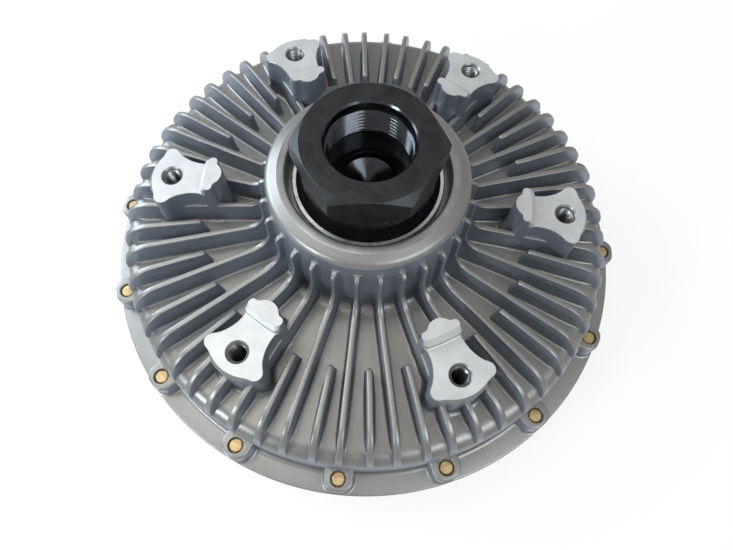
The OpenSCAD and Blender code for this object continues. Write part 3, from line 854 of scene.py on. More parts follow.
@dataclass(frozen=True)
class FinForm:
    """Cross-section of a cast fin, drafted in height."""

    top_w: float = 2.35
    base_w: float = 3.3
    top_z: float = -9.5
    base_z: float = -21.0
    crest_round: float = 0.45
    foot_round: float = 1.15
    foot_sink: float = 0.08
    least_w: float = 1.7
    nose_facets: int = 45
    nose_rows: int = 9
    nose_clear: float = 0.1
    nose_lead: float = 0.3
    butt_lean: float = 1.2
    butt_sink: float = 0.3
    butt_steps: tuple[Point, ...] = ((1.0, 0.0), (0.45, 0.2), (0.12, 0.5), (0.0, 0.95))

    def half_width(self, z: float) -> float:
        """Half the fin's width at a height."""
        share = (z - self.base_z) / (self.top_z - self.base_z)
        return max(self.least_w, blend(self.base_w, self.top_w, share)) / 2

    def section(self, foot: Point, crest: Point, inset: float = 0.0) -> list[Vector]:
        """Loop across the fin at one station, from one foot over the crest to the other.

        Args:
            foot: Radius and height where the fin meets the casting.
            crest: Radius and height of its top.
            inset: How far the sides and the crest draw in, at an end.

        Returns:
            The loop's points for a fin that lies along X.
        """
        way = Vector(crest) - Vector(foot)
        height = max(way.length - inset, TINY)
        share = min(1.0, 0.9 * height / (self.crest_round + self.foot_round))
        crest_r, foot_r = self.crest_round * share, self.foot_round * share
        side: list[Point] = [(0.0, height)]
        for a in (90, 55, 20, 0):
            sink = crest_r * (1 - math.sin(math.radians(a)))
            side.append((-crest_r * (1 - math.cos(math.radians(a))), height - sink))
        side.append((0.0, blend(foot_r, height - crest_r, 0.5)))
        for a in (0, 30, 60, 90):
            spread = foot_r * (1 - math.cos(math.radians(a)))
            side.append((spread, foot_r * (1 - math.sin(math.radians(a)))))
        side.append((foot_r, -self.foot_sink))
        made = []
        for index, (spread, up) in enumerate(side):
            at = Vector(foot) + way * (up / max(way.length, TINY))
            half = 0.0 if index == 0 else self.half_width(at.y) - inset + spread
            made.append((at.x, half, at.y))
        loop = [(r, -t, z) for r, t, z in reversed(made)] + made[1:]
        return [Vector((math.sqrt(r * r - t * t), t, z)) for r, t, z in loop]

    def upright(self, radii: Sequence[float], height: Height) -> list[Pair]:
        """Foot and crest pairs of the level part of a fin, at some radii."""
        return [((radius, height(radius)), (radius, self.top_z)) for radius in radii]

    def nosed(self, end: float, nose_r: float, height: Height, feet: Point) -> list[Pair]:
        """Foot and crest pairs of a fin's rounded outer end, from its tip to the level top.

        Args:
            end: Radius where the nose would stand upright.
            nose_r: Radius of the nose's curve.
            height: Gives the casting's height at a radius.
            feet: Radii of the feet under an upright part and under the start of the curve.

        Returns:
            The pairs, from the tip inwards.
        """
        side = math.copysign(1.0, self.top_z - height(end - nose_r))
        centre = (end - nose_r, self.top_z - side * nose_r)
        curve = arc(centre, nose_r, 0, 90 * side, self.nose_facets)
        above = [crest for crest in curve if side * (crest[1] - height(crest[0])) > self.nose_clear]
        pairs, start = [], above[0][0] - self.nose_lead
        if len(above) == len(curve):
            low, start = height(end), feet[1]
            pairs.append(((end, low), (end, low + side * 0.05)))
            for share in (0.35, 0.7):
                foot = blend(end, feet[0], share)
                pairs.append(((foot, height(foot)), (end, blend(low, centre[1], share))))
        rows = self.nose_rows
        picked = [above[round(i * (len(above) - 1) / rows)] for i in range(rows + 1)]
        for i, crest in enumerate(picked):
            foot = blend(start, centre[0], i / rows)
            pairs.append(((foot, height(foot)), crest))
        return pairs

    def butt(self, start: float, ground: float) -> list[list[Vector]]:
        """Loops that round off a fin's upright inner end.

        Args:
            start: Radius of the end.
            ground: Height of the casting there.

        Returns:
            The loops, the end's face last.
        """
        low = ground - math.copysign(self.butt_sink, self.top_z - ground)
        loops = []
        for back, inset in self.butt_steps:
            foot = (start + back - self.butt_lean, low)
            loops.append(self.section(foot, (start + back, self.top_z), inset))
        return loops


@dataclass
class RearCasting:
    """The drum half with the hub, the fins, the fan bosses and the screw lugs."""

    paint: Paintbox
    boss_count: int = 6
    fin_count: int = 60
    screw_count: int = 16
    bolt_r: float = 89.0
    pilot_r: float = 74.6
    pilot_step: float = 5.0
    pilot_chamfer: float = 2.0
    drum_r: float = 115.5
    edge_r: float = 7.0
    wall_foot_r: float = 116.0
    wall_fillet: float = 2.2
    flange_r: float = 126.0
    flange_top: float = -43.3
    floor_z: float = -21.0
    hub_r: float = 43.7
    hub_low_r: float = 44.8
    hub_fillet: float = 4.5
    hub_top: float = 20.4
    ring_r: float = 38.2
    ring_round: float = 0.5
    mouth_r: float = 34.5
    mouth_round: float = 1.2
    mouth_low: float = 5.0
    shoulder_r: float = 3.6
    shoulder_drop: float = 4.4
    cone_top: float = 12.9
    fin: FinForm = field(default_factory=FinForm)
    fin_end: float = 115.0
    nose_r: float = 14.5
    nose_feet: Point = (111.0, 110.0)
    long_stations: tuple[float, ...] = (90, 82, 74, 66)
    sweep_r: float = 9.0
    sweep_steps: int = 12
    rib_r: float = 47.6
    rib_top: float = 11.2
    rib_round: float = 2.6
    rib_stations: tuple[float, ...] = (3.0, 6.0)
    short_start: float = 76.5
    short_middle: float = 95.0
    short_shift: float = 0.4
    stub_start: float = 93.0
    thread_crest_r: float = 3.4
    thread_root_r: float = 4.0
    thread_pitch: float = 1.25
    thread_low: float = -23.9
    thread_top: float = -0.6
    lug_top: float = -33.0
    lug_w: float = 13.0
    lug_corner: float = 5.0
    lug_reach: float = 124.7
    lug_root: float = 112.5
    lug_edge: float = 0.9
    lug_foot: float = 1.1
    lug_draft: float = 0.25
    screw_r: float = 119.5
    # Radii and heights of the inside: bearing seat with its ring groove, chamber, spigot recess
    inside: tuple[Point, ...] = (
        (31.05, 10.0), (31.05, 8.4), (33.05, 8.4), (33.05, 6.5), (31.05, 6.5), (31.05, -17.3),
        (26.8, -17.3), (26.8, -25.5), (46.0, -25.5), (56.0, -33.0), (110.6, -33.0),
        (110.6, -37.5), (114.3, -37.5),
    )
    # Half outline of a fan boss, from the nose on X round to the inner end
    boss_nose: Bow = ((79.8, 0.0), 18.2, 0.0, 31.4, 8)
    boss_ear: Bow = ((91.4, 11.0), 3.55, -10.0, 118.0, 10)
    boss_neck: Point = (88.2, 12.75)
    boss_flank: Bow = ((76.0, 26.85), 19.0, 309.0, 260.0, 12)
    boss_draft: float = 0.7
    boss_foot: float = 2.2
    boss_swell: float = 1.0
    swell_start: float = 95.0
    swell_length: float = 2.0
    # Half outline of a pilot part; the corner's place is behind the step and beside X
    step_spread: float = 5.4
    corner_place: Point = (1.95, 6.9)
    corner_r: float = 1.6
    pilot_lobe: Bow = ((70.2, 6.6), 1.9, 95.0, 190.0, 7)
    pilot_nose: Bow = ((71.3, 0.0), 6.0, 122.0, 180.0, 10)
    pilot_draft: float = 0.6
    pilot_foot: float = 1.6
    # Distances outside the step and heights of its hollow foot
    pilot_hollow: tuple[Point, ...] = ((0.75, 0.0), (0.35, 0.2), (0.05, 0.7))
    pilot_edge: Point = (1.9, 0.3)
    pilot_ease: float = 0.15
    step_band: float = 2.3
    # Angles round a wall's foot, shares of its height, and the drop and inset of its top edge
    wall_angles: tuple[float, ...] = (90, 65, 40, 20, 0)
    wall_shares: tuple[float, ...] = (0.35, 0.7, 0.93)
    wall_drop: float = 0.25
    wall_inset: float = 0.2
    # Radii and heights of a fan bolt's hole
    bolt_hole: tuple[Point, ...] = (
        (4.9, 0.0), (4.75, -0.15), (4.02, -0.95), (4.02, -24.0), (2.2, -25.1), (0.3, -26.0),
    )
    # Radii of a lug's hole and depths under its top
    screw_hole: tuple[Point, ...] = ((3.55, 0.0), (3.4, 0.15), (3.3, 0.5), (3.3, 2.6))
    ground: list[Point] = field(init=False)

    def __post_init__(self) -> None:
        """Draws the line of the hub's side and the floor, with a hollow curve where they meet."""
        bend = (self.hub_low_r + self.hub_fillet, self.floor_z + self.hub_fillet)
        line = [(self.hub_r, self.cone_top)] + arc(bend, self.hub_fillet, 180, 270, 10)
        line.append((self.drum_r - self.edge_r, self.floor_z))
        self.ground = eased(evened(line, 120), 4)

    def floor_height(self, radius: float) -> float:
        """Height of the floor or the hub's side.

        Args:
            radius: Where the height is read.

        Returns:
            The height, which falls away at the drum's round edge.
        """
        over = min(radius, self.drum_r - TINY) - (self.drum_r - self.edge_r)
        if over > 0:
            return self.floor_z - self.edge_r + math.sqrt(self.edge_r**2 - over**2)
        return height_on(self.ground, radius)

    def outer_profile(self) -> list[Point]:
        """Profile of the outside.

        Returns:
            Radii and heights, from the drum wall's foot up to the hub's mouth.
        """
        fillet, edge, ring, mouth = self.wall_fillet, self.edge_r, self.ring_round, self.mouth_round
        shoulder = (self.hub_r - self.shoulder_r, self.hub_top - self.shoulder_drop)
        line = arc((self.wall_foot_r + fillet, self.flange_top + fillet), fillet, 270, 180, 7)
        line += arc((self.drum_r - edge, self.floor_z - edge), edge, 0, 90, 9)
        line += reversed(self.ground[:-1])
        line += arc(shoulder, self.shoulder_r, 0, 72, 9)
        line += arc((self.ring_r, self.hub_top - ring), ring, 60, 90, 2)
        line += arc((self.mouth_r + mouth, self.hub_top - mouth), mouth, 90, 180, 5)
        return line

    def shell(self) -> None:
        """The drum and hub, a closed turned shell without its fins."""
        first, last = self.inside[0], self.inside[-1]
        inner = [(self.mouth_r, first[1]), *self.inside, (last[0], self.flange_top)]
        mesh = turned(self.outer_profile() + inner, 216)
        for face in mesh.faces:
            middle = face.calc_center_median()
            reach = math.hypot(middle.x, middle.y)
            if reach < self.ring_r + 0.4 and middle.z > self.mouth_low:
                face.material_index = 1
        skins = [self.paint.get(Finish.REAR_CAST), self.paint.get(Finish.TURNED_ALUMINIUM)]
        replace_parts(piece(mesh, "rear_drum", "housing", skins, 28), "rear_housing")

    def nose_stations(self) -> list[Pair]:
        """Foot and crest pairs of a fin's outer end, from its tip to the level top."""
        return self.fin.nosed(self.fin_end, self.nose_r, self.floor_height, self.nose_feet)

    def long_fin(self) -> bmesh.types.BMesh:
        """A long fin, which turns up the hub as an upright rib with a rounded top.

        Returns:
            Its mesh, which lies along X.
        """
        pairs = self.nose_stations() + self.fin.upright(self.long_stations, self.floor_height)
        steps, centre = self.sweep_steps, (self.rib_r + self.sweep_r, self.fin.top_z + self.sweep_r)
        sweep = arc(centre, self.sweep_r, 270, 180, steps)
        outer = next(i for i, p in enumerate(self.ground) if p[0] >= sweep[0][0])
        inner = next(i for i, p in enumerate(self.ground) if p[1] <= sweep[-1][1] - 1.0)
        for i, crest in enumerate(sweep):
            pairs.append((self.ground[round(blend(outer, inner, i / steps))], crest))
        top = (self.rib_r - self.rib_round, self.rib_top - self.rib_round)
        rib = [(self.rib_r, z) for z in self.rib_stations] + arc(top, self.rib_round, 0, 90, 5)
        pairs += [((self.hub_side(crest[1]), crest[1]), crest) for crest in rib]
        end = self.rib_top + 0.2
        pairs.append(((self.hub_r, end), (self.hub_r + 0.08, end)))
        return lofted([self.fin.section(foot, crest) for foot, crest in pairs])

    def hub_side(self, z: float) -> float:
        """Radius of the hub's side.

        Args:
            z: Height at which it is read.

        Returns:
            The radius, or that of the hub's top above the line of the ground.
        """
        for a, b in zip(self.ground, self.ground[1:]):
            if b[1] <= z <= a[1]:
                return blend(a[0], b[0], (a[1] - z) / max(a[1] - b[1], TINY))
        return self.hub_r

    def short_fin(self, start: float) -> bmesh.types.BMesh:
        """A short fin.

        Args:
            start: Radius of its inner end.

        Returns:
            Its mesh, which lies along X.
        """
        middle = blend(self.short_middle, start, 0.5)
        pairs = self.nose_stations()
        pairs += self.fin.upright((self.short_middle, middle), self.floor_height)
        loops = [self.fin.section(foot, crest) for foot, crest in pairs]
        return lofted(loops + self.fin.butt(start, self.floor_height(start)))

    def fins(self) -> None:
        """All the fins: long and short in turn, and a stub outside each boss."""
        step = 360 / self.fin_count
        per_boss = self.fin_count // self.boss_count
        places = range(self.fin_count)
        shorts = [i for i in places if i % 2 == 0 and i % per_boss]
        plans = {
            "long_fins": (self.long_fin(), [i * step for i in places if i % 2]),
            "short_fins": (
                self.short_fin(self.short_start),
                [i * step + self.short_shift for i in shorts],
            ),
            "boss_stubs": (
                self.short_fin(self.stub_start),
                [i * step for i in places if i % per_boss == 0],
            ),
        }
        for name, (mesh, angles) in plans.items():
            repeated(mesh, angles)
            piece(mesh, name, "housing", [self.paint.get(Finish.REAR_CAST)], 40)

    def boss_outline(self) -> Outline:
        """Outline of a fan boss.

        Returns:
            Its nose, ears, necks and concave flanks as one outline.
        """
        half = arc(*self.boss_nose) + arc(*self.boss_ear)
        half += [self.boss_neck] + arc(*self.boss_flank)
        mirrored = [(x, -y) for x, y in reversed(half[1:])]
        return Outline(half + mirrored).resampled(120).softened(3)

    def pilot_outline(self, step_r: float) -> Outline:
        """Outline of the raised pilot part: a step, two lobes and an inner nose.

        Args:
            step_r: Radius of the step about the clutch's axis.

        Returns:
            The outline.
        """
        behind, beside = self.corner_place
        half = arc((0, 0), step_r, 0, self.step_spread, 4)
        half += arc((step_r - behind, beside), self.corner_r, 15, 90, 4)
        half += arc(*self.pilot_lobe) + arc(*self.pilot_nose)
        mirrored = [(x, -y) for x, y in reversed(half[1:-1])]
        return Outline(half + mirrored).resampled(96).softened(1)

    def walls(self, outline: Outline, top: float, draft: float, foot: float) -> list[Loop]:
        """Loops of a boss's drafted wall, from its spread foot up to its top edge.

        Args:
            outline: The boss's outline at its top.
            top: Height of the top.
            draft: How far the wall spreads on its way down.
            foot: Radius of the hollow curve at the floor.

        Returns:
            The loops, lowest first.
        """
        loops = []
        depth = top - self.floor_z
        for a in self.wall_angles:
            spread = foot * (1 - math.cos(math.radians(a))) + draft
            up = foot * (1 - math.sin(math.radians(a)))
            ring = outline.grown(spread).points
            loops.append([(x, y, self.floor_height(math.hypot(x, y)) + up) for x, y in ring])
        for share in self.wall_shares:
            ring = outline.grown(draft * (1 - share)).points
            loops.append([(x, y, self.floor_z + depth * share) for x, y in ring])
        loops.append([(x, y, top - self.wall_drop) for x, y in outline.points])
        loops.append([(x, y, top) for x, y in outline.grown(-self.wall_inset).points])
        return loops

    def nose_swollen(self, loop: Loop) -> Loop:
        """A loop whose outer nose stands further out, as the raw casting under a machined top.

        Args:
            loop: The loop of a boss's wall.

        Returns:
            The new loop.
        """
        made = []
        for x, y, z in loop:
            share = smooth_ramp((x - self.swell_start) / self.swell_length)
            made.append((x + self.boss_swell * share, y, z))
        return made

    def pilot_loops(self) -> list[Loop]:
        """Loops of the pilot part, whose step has a hollow foot and a chamfered top edge.

        Returns:
            The loops, lowest first.
        """
        step, high = self.pilot_r, self.pilot_step
        foot = self.walls(self.pilot_outline(step), 0.0, self.pilot_draft, self.pilot_foot)
        loops = foot[:-2]
        edge = [(step + out, z) for out, z in self.pilot_hollow]
        edge.append((step, high - self.pilot_chamfer))
        edge.append((step - self.pilot_edge[0], high - self.pilot_edge[1]))
        for step_r, z in edge:
            loops.append([(x, y, z) for x, y in self.pilot_outline(step_r).points])
        top = self.pilot_outline(step - self.pilot_chamfer).grown(-self.pilot_ease)
        loops.append([(x, y, high) for x, y in top.points])
        return loops

    def bosses(self) -> None:
        """The six fan bosses with their threaded holes and raised pilot parts."""
        outline = self.boss_outline()
        loops = self.walls(outline, 0.0, self.boss_draft, self.boss_foot)
        loops[:-2] = [self.nose_swollen(loop) for loop in loops[:-2]]
        for radius, z in self.bolt_hole:
            ring = outline.pulled_to_circle((self.bolt_r, 0.0), radius).points
            loops.append([(x, y, z) for x, y in ring])
        pads = lofted(loops)
        self.mark_machined(pads, 0.0)
        pilots = lofted(self.pilot_loops())
        self.mark_machined(pilots, self.pilot_step)
        threads = threaded_lining(
            self.thread_crest_r,
            self.thread_root_r,
            self.thread_pitch,
            self.thread_low,
            self.thread_top,
            columns=24,
            rows=5,
        )
        bmesh.ops.translate(threads, verts=threads.verts, vec=(self.bolt_r, 0, 0))
        for mesh in (pads, pilots, threads):
            repeated(mesh, [360 * i / self.boss_count for i in range(self.boss_count)])
        skins = [self.paint.get(Finish.REAR_CAST), self.paint.get(Finish.PAD)]
        piece(pads, "fan_bosses", "housing", skins, 30)
        piece(pilots, "pilot_lobes", "housing", skins, 30)
        bare = [self.paint.get(Finish.TURNED_ALUMINIUM)]
        piece(threads, "fan_bolt_threads", "housing", bare, 50)

    def mark_machined(self, mesh: bmesh.types.BMesh, top: float) -> None:
        """Gives the flat top of a boss, or the step of a pilot part, the machined finish.

        Args:
            mesh: The boss or the pilot part.
            top: Height of its top.
        """
        mesh.normal_update()
        for face in mesh.faces:
            middle = face.calc_center_median()
            outside = math.hypot(middle.x, middle.y) > self.pilot_r - self.step_band
            on_step = top > 0 and middle.z > -0.1 and outside
            if abs(middle.z - top) < 0.01 or on_step:
                face.material_index = 1

    def lug_outline(self) -> Outline:
        """Outline of a screw lug.

        Returns:
            The outline, whose inner end is inside the drum wall.
        """
        corner, half_w = self.lug_corner, self.lug_w / 2
        middle = (self.lug_reach - corner, half_w - corner)
        half = [(self.lug_reach, 0)] + arc(middle, corner, 0, 90, 6) + [(self.lug_root, half_w)]
        mirrored = [(x, -y) for x, y in reversed(half[1:])]
        return Outline(half + mirrored).resampled(72)

    def lugs(self) -> None:
        """The lugs that the rim screws come up through."""
        outline = self.lug_outline()
        top, edge = self.lug_top, self.lug_edge
        loops = []
        for a in (90, 60, 30, 0):
            spread = self.lug_foot * (1 - math.cos(math.radians(a))) + self.lug_draft
            z = self.flange_top + self.lug_foot * (1 - math.sin(math.radians(a)))
            loops.append([(x, y, z) for x, y in self.kept(outline.grown(spread).points)])
        for a in (0, 30, 60, 90):
            inset = edge * (1 - math.cos(math.radians(a)))
            z = top - edge + edge * math.sin(math.radians(a))
            loops.append([(x, y, z) for x, y in outline.grown(-inset).points])
        for radius, depth in self.screw_hole:
            ring = outline.pulled_to_circle((self.screw_r, 0.0), radius).points
            loops.append([(x, y, top - depth) for x, y in ring])
        mesh = lofted(loops)
        repeated(mesh, [360 * i / self.screw_count for i in range(self.screw_count)])
        piece(mesh, "screw_lugs", "housing", [self.paint.get(Finish.REAR_CAST)], 35)

    def kept(self, points: list[Point]) -> list[Point]:
        """Points drawn in where they would pass the flange's edge.

        Args:
            points: The points.

        Returns:
            As many points, all within the flange.
        """
        limit = self.flange_r - 0.2
        made = []
        for x, y in points:
            share = min(1.0, limit / math.hypot(x, y))
            made.append((x * share, y * share))
        return made

    def build(self) -> None:
        """Builds the whole casting."""
        self.shell()
        self.fins()
        self.bosses()
        self.lugs()


@dataclass
class FrontCasting:
    """The cover half: flange, drum, fins, guard ring, coil pocket, reservoir and fluid lands."""

    paint: Paintbox
    spigot_top: float = -37.8
    spigot_r: float = 114.2
    groove_r: float = 112.25
    groove_top: float = -38.9
    groove_low: float = -41.3
    chamber_r: float = 110.6
    flange_r: float = 126.0
    flange_top: float = -43.3
    flange_low: float = -48.0
    rim_round: float = 0.8
    drum_r: float = 113.35
    drum_edge: float = 4.5
    outer_z: float = -57.0
    step_r: float = 66.4
    centre_r: float = 58.0
    centre_z: float = -64.95
    centre_round: float = 1.5
    guard_r: float = 33.0
    guard_t: float = 5.0
    guard_round: float = 0.9
    tip_z: float = -78.0
    pocket_z: float = -66.0
    bore_r: float = 6.02
    boss_r: float = 9.5
    boss_top: float = -54.0
    reservoir_r: float = 55.0
    reservoir_z: float = -59.0
    plate_r: float = 62.05
    plate_z: float = -49.0
    plate_top: float = -46.2
    face_r: float = 65.35
    face_z: float = -51.0
    land_first: float = 71.0
    land_pitch: float = 6.0
    land_t: float = 2.6
    land_top: float = -45.6
    land_count: int = 6
    fin: FinForm = field(default_factory=lambda: FinForm(base_w=3.8, top_z=-77.8, base_z=-57.0))
    fin_count: int = 48
    fin_start: float = 66.0
    fin_end: float = 111.8
    nose_r: float = 12.0
    nose_feet: Point = (109.0, 108.5)
    outer_stations: tuple[float, ...] = (92, 84, 76, 70)
    inner_stations: tuple[float, ...] = (67, 64, 61, 58, 55, 48, 41, 38.4)
    fin_root: float = 36.0
    ground: list[Point] = field(init=False)

    def __post_init__(self) -> None:
        """Draws the line of the outside between the guard ring and the drum's edge."""
        guard_end = self.guard_r + self.guard_t
        corners = [
            (guard_end, self.centre_z - self.centre_round),
            (guard_end + self.centre_round, self.centre_z),
            (self.centre_r, self.centre_z),
            (self.step_r, self.outer_z),
            (self.drum_r - self.drum_edge, self.outer_z),
        ]
        self.ground = eased(evened(corners, 90), 5)

    def height(self, radius: float) -> float:
        """Height of the outside.

        Args:
            radius: Where the height is read.

        Returns:
            The height, which rises at the drum's round edge.
        """
        edge = self.drum_edge
        over = radius - (self.drum_r - edge)
        if over > 0:
            return self.outer_z + edge - math.sqrt(edge**2 - min(over, edge - 0.1) ** 2)
        return height_on(self.ground, radius)

    def profile(self) -> list[Point]:
        """Closed profile of the casting.

        Returns:
            Radii and heights, from the spigot round the outside to the reservoir and the lands.
        """
        tip, edge, rim, soft = self.guard_round, self.drum_edge, self.rim_round, 1.5
        line = [
            (self.chamber_r, self.spigot_top), (self.spigot_r, self.spigot_top),
            (self.spigot_r, self.groove_top), (self.groove_r, self.groove_top),
            (self.groove_r, self.groove_low), (self.spigot_r, self.groove_low),
            (self.spigot_r, self.flange_top),
        ]
        line += arc((self.flange_r - rim, self.flange_top - rim), rim, 90, 0, 4)
        line += arc((self.flange_r - rim, self.flange_low + rim), rim, 0, -90, 4)
        line += arc((self.drum_r + soft, self.flange_low - soft), soft, 90, 180, 5)
        line += arc((self.drum_r - edge, self.outer_z + edge), edge, 0, -90, 8)
        line += reversed(self.ground[:-1])
        line += arc((self.guard_r + self.guard_t - tip, self.tip_z + tip), tip, 0, -90, 3)
        line += arc((self.guard_r + tip, self.tip_z + tip), tip, 270, 180, 3)
        line += arc((self.guard_r - soft, self.pocket_z - soft), soft, 0, 90, 4)
        line += [
            (self.bore_r, self.pocket_z), (self.bore_r, self.boss_top),
            (self.boss_r, self.boss_top), (self.boss_r, self.reservoir_z),
            (self.reservoir_r, self.reservoir_z), (self.reservoir_r, self.plate_z),
            (self.plate_r, self.plate_z), (self.plate_r, self.plate_top),
            (self.face_r, self.plate_top), (self.face_r, self.face_z),
        ]
        for index in range(self.land_count):
            middle = self.land_first + index * self.land_pitch
            low, high = middle - self.land_t / 2, middle + self.land_t / 2
            line += [(low, self.face_z), (low, self.land_top)]
            line += [(high, self.land_top), (high, self.face_z)]
        return line + [(self.chamber_r, self.face_z)]

    def machined(self, radius: float, z: float) -> bool:
        """Whether a place on the casting was turned: the inside, the spigot or the bore.

        Args:
            radius: Distance of the place from the axis.
            z: Its height.

        Returns:
            True if it was turned.
        """
        turned_parts = (
            (self.plate_r, self.reservoir_z - 1.0),
            (self.chamber_r, self.face_z - 0.5),
            (self.spigot_r, self.flange_top + 0.1),
            (self.bore_r, self.pocket_z),
        )
        return any(radius < reach + 0.15 and z > low for reach, low in turned_parts)

    def shell(self) -> None:
        """The turned casting without its fins."""
        mesh = turned(self.profile(), 216)
        for face in mesh.faces:
            middle = face.calc_center_median()
            if self.machined(math.hypot(middle.x, middle.y), middle.z):
                face.material_index = 1
        skins = [self.paint.get(Finish.FRONT_CAST), self.paint.get(Finish.TURNED_ALUMINIUM)]
        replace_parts(piece(mesh, "front_drum", "housing", skins, 28), "front_cover")

    def fins(self) -> None:
        """The cooling fins: every second one runs in to the guard ring."""
        outer = self.fin.nosed(self.fin_end, self.nose_r, self.height, self.nose_feet)
        outer += self.fin.upright(self.outer_stations, self.height)
        inner = self.fin.upright(self.inner_stations, self.height)
        inner.append(((self.fin_root, self.centre_z), (self.fin_root, self.fin.top_z)))
        ends = [self.fin.section(foot, crest) for foot, crest in outer]
        whole = lofted(ends + [self.fin.section(foot, crest) for foot, crest in inner])
        short = lofted(ends + self.fin.butt(self.fin_start, self.outer_z))
        step = 360 / self.fin_count
        skin = [self.paint.get(Finish.FRONT_CAST)]
        for name, mesh, first in (("cover_long_fins", whole, 0.5), ("cover_short_fins", short, 1.5)):
            repeated(mesh, [(first + 2 * i) * step for i in range(self.fin_count // 2)])
            piece(mesh, name, "housing", skin, 40)

    def build(self) -> None:
        """Builds the whole casting."""
        self.shell()
        self.fins()


@dataclass
class InputShaft:
    """The input shaft: hex head, concave flare, collar, bore with its thread, and stem."""

    paint: Paintbox
    flats: float = 55.0
    corner_round: float = 1.0
    hex_top: float = 40.5
    face_r: float = 27.3
    chamfer: float = 30.0
    hex_turn: float = 5.5
    cove_x: float = 37.8
    cove_z: float = 22.1
    cove_r: float = 10.4
    wide_r: float = 18.0
    thread_r: float = 16.9
    thread_top: float = 37.0
    thread_low: float = 21.5
    pitch: float = 2.0
    relief: float = 16.0
    pilot_r: float = 11.7
    collar_r: float = 32.5
    collar_top: float = 14.5
    collar_low: float = 11.0
    cove_steps: int = 16
    # Radii and heights of the stem below the collar, down to its lower face
    stem: tuple[Point, ...] = (
        (18.6, 11.0), (18.6, 6.5), (14.95, 6.5), (14.95, -24.5), (14.2, -24.7), (14.2, -45.4),
        (13.4, -46.1), (0.5, -46.1),
    )
    corner_steps: tuple[float, ...] = (0.45, 0.9, 1.6, 3.0, 5.0, 7.5, 10.5, 14.0, 18.0, 22.0, 26.0)

    def columns(self) -> list[float]:
        """Angles of the loft's columns.

        Returns:
            The angles in degrees, closer together at the hexagon's corners.
        """
        made = []
        for corner in range(0, 360, 60):
            made += [corner] + [corner + a for a in self.corner_steps] + [corner + 30]
            made += [corner + 60 - a for a in reversed(self.corner_steps)]
        return made

    def hex_radius(self, angle: float) -> float:
        """Radius of the hexagon with its rounded corners.

        Args:
            angle: Angle from one of the corners, in degrees.

        Returns:
            The radius.
        """
        within = abs((angle + 30) % 60 - 30)
        flat = self.flats / 2 / math.cos(math.radians(30 - within))
        middle = (self.flats / 2 - self.corner_round) / math.cos(math.radians(30))
        aside = middle * math.sin(math.radians(within))
        if aside > self.corner_round / 2:
            return flat
        return middle * math.cos(math.radians(within)) + math.sqrt(self.corner_round**2 - aside**2)

    def cove_point(self, swing: float) -> Point:
        """Radius and height on the cove at an angle above its middle, in radians."""
        radius = self.cove_x - self.cove_r * math.cos(swing)
        return (radius, self.cove_z + self.cove_r * math.sin(swing))

    @staticmethod
    def at(angle: float, radius: float, z: float) -> Place:
        """Place at an angle in degrees, a radius and a height."""
        return (radius * math.cos(math.radians(angle)), radius * math.sin(math.radians(angle)), z)

    def rings(self, profile: Sequence[Point]) -> list[Loop]:
        """Round loops at the radii and heights of a profile."""
        return [[self.at(a, radius, z) for a in self.columns()] for radius, z in profile]

    def chamfered(self, angle: float, share: float) -> Place:
        """Place on the turned chamfer, between the top face and the flat's upper edge.

        Args:
            angle: Angle from a corner, in degrees.
            share: 0 at the top face, 1 at the flat.

        Returns:
            The place.
        """
        radius = blend(self.face_r, self.hex_radius(angle), share)
        slope = math.tan(math.radians(self.chamfer))
        return self.at(angle, radius, self.hex_top - (radius - self.face_r) * slope)

    def bore_profile(self) -> list[Point]:
        """Profile of the bore and the top face.

        Returns:
            Radii and heights, from the pilot hole's bottom up to the face's outer edge.
        """
        wide, pilot, relief, soft = self.wide_r, self.pilot_r, self.relief, 0.1
        return [
            (0.3, relief - 11.2), (pilot, relief - 4), (pilot, relief - 0.5),
            (pilot + 0.5, relief), (wide, relief), (wide, self.thread_low + soft),
            (wide + soft, self.thread_low), (wide + soft, self.thread_top),
            (wide, self.thread_top + soft), (wide, self.hex_top - 0.7),
            (wide + 0.6, self.hex_top), (self.face_r, self.hex_top),
        ]

    def side_loops(self) -> list[Loop]:
        """Loops of the chamfer, the flats and the cove.

        Returns:
            The loops, from the top face down to the collar.
        """
        angles = self.columns()
        swings = [math.acos((self.cove_x - self.hex_radius(a)) / self.cove_r) for a in angles]
        lowest = math.asin((self.collar_top - self.cove_z) / self.cove_r)
        loops = [[self.chamfered(a, share) for a in angles] for share in (0.5, 1.0)]
        for share in (0.35, 0.7, 0.98):
            made = []
            for angle, swing in zip(angles, swings):
                z = blend(self.chamfered(angle, 1.0)[2], self.cove_point(swing)[1], share)
                made.append(self.at(angle, self.hex_radius(angle), z))
            loops.append(made)
        for i in range(self.cove_steps + 1):
            made = []
            for angle, swing in zip(angles, swings):
                place = self.cove_point(blend(swing, lowest, i / self.cove_steps))
                made.append(self.at(angle, *place))
            loops.append(made)
        return loops

    def head(self) -> None:
        """The shaft with its hex head and its bore, lofted round its axis."""
        rim = self.collar_r
        collar = [(rim - 0.4, self.collar_top), (rim, self.collar_top - 0.4), (rim, self.collar_low)]
        stem = self.rings([*collar, *self.stem])
        mesh = lofted(self.rings(self.bore_profile()) + self.side_loops() + stem)
        turn = Matrix.Rotation(math.radians(self.hex_turn), 3, "Z")
        bmesh.ops.rotate(mesh, verts=mesh.verts, cent=(0, 0, 0), matrix=turn)
        self.paint_faces(mesh)
        finishes = (Finish.BLACK_STEEL, Finish.BLACK_GLOSS, Finish.BARE_STEEL)
        skins = [self.paint.get(finish) for finish in finishes]
        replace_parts(piece(mesh, "input_head", "input", skins, 24), "input_shaft")

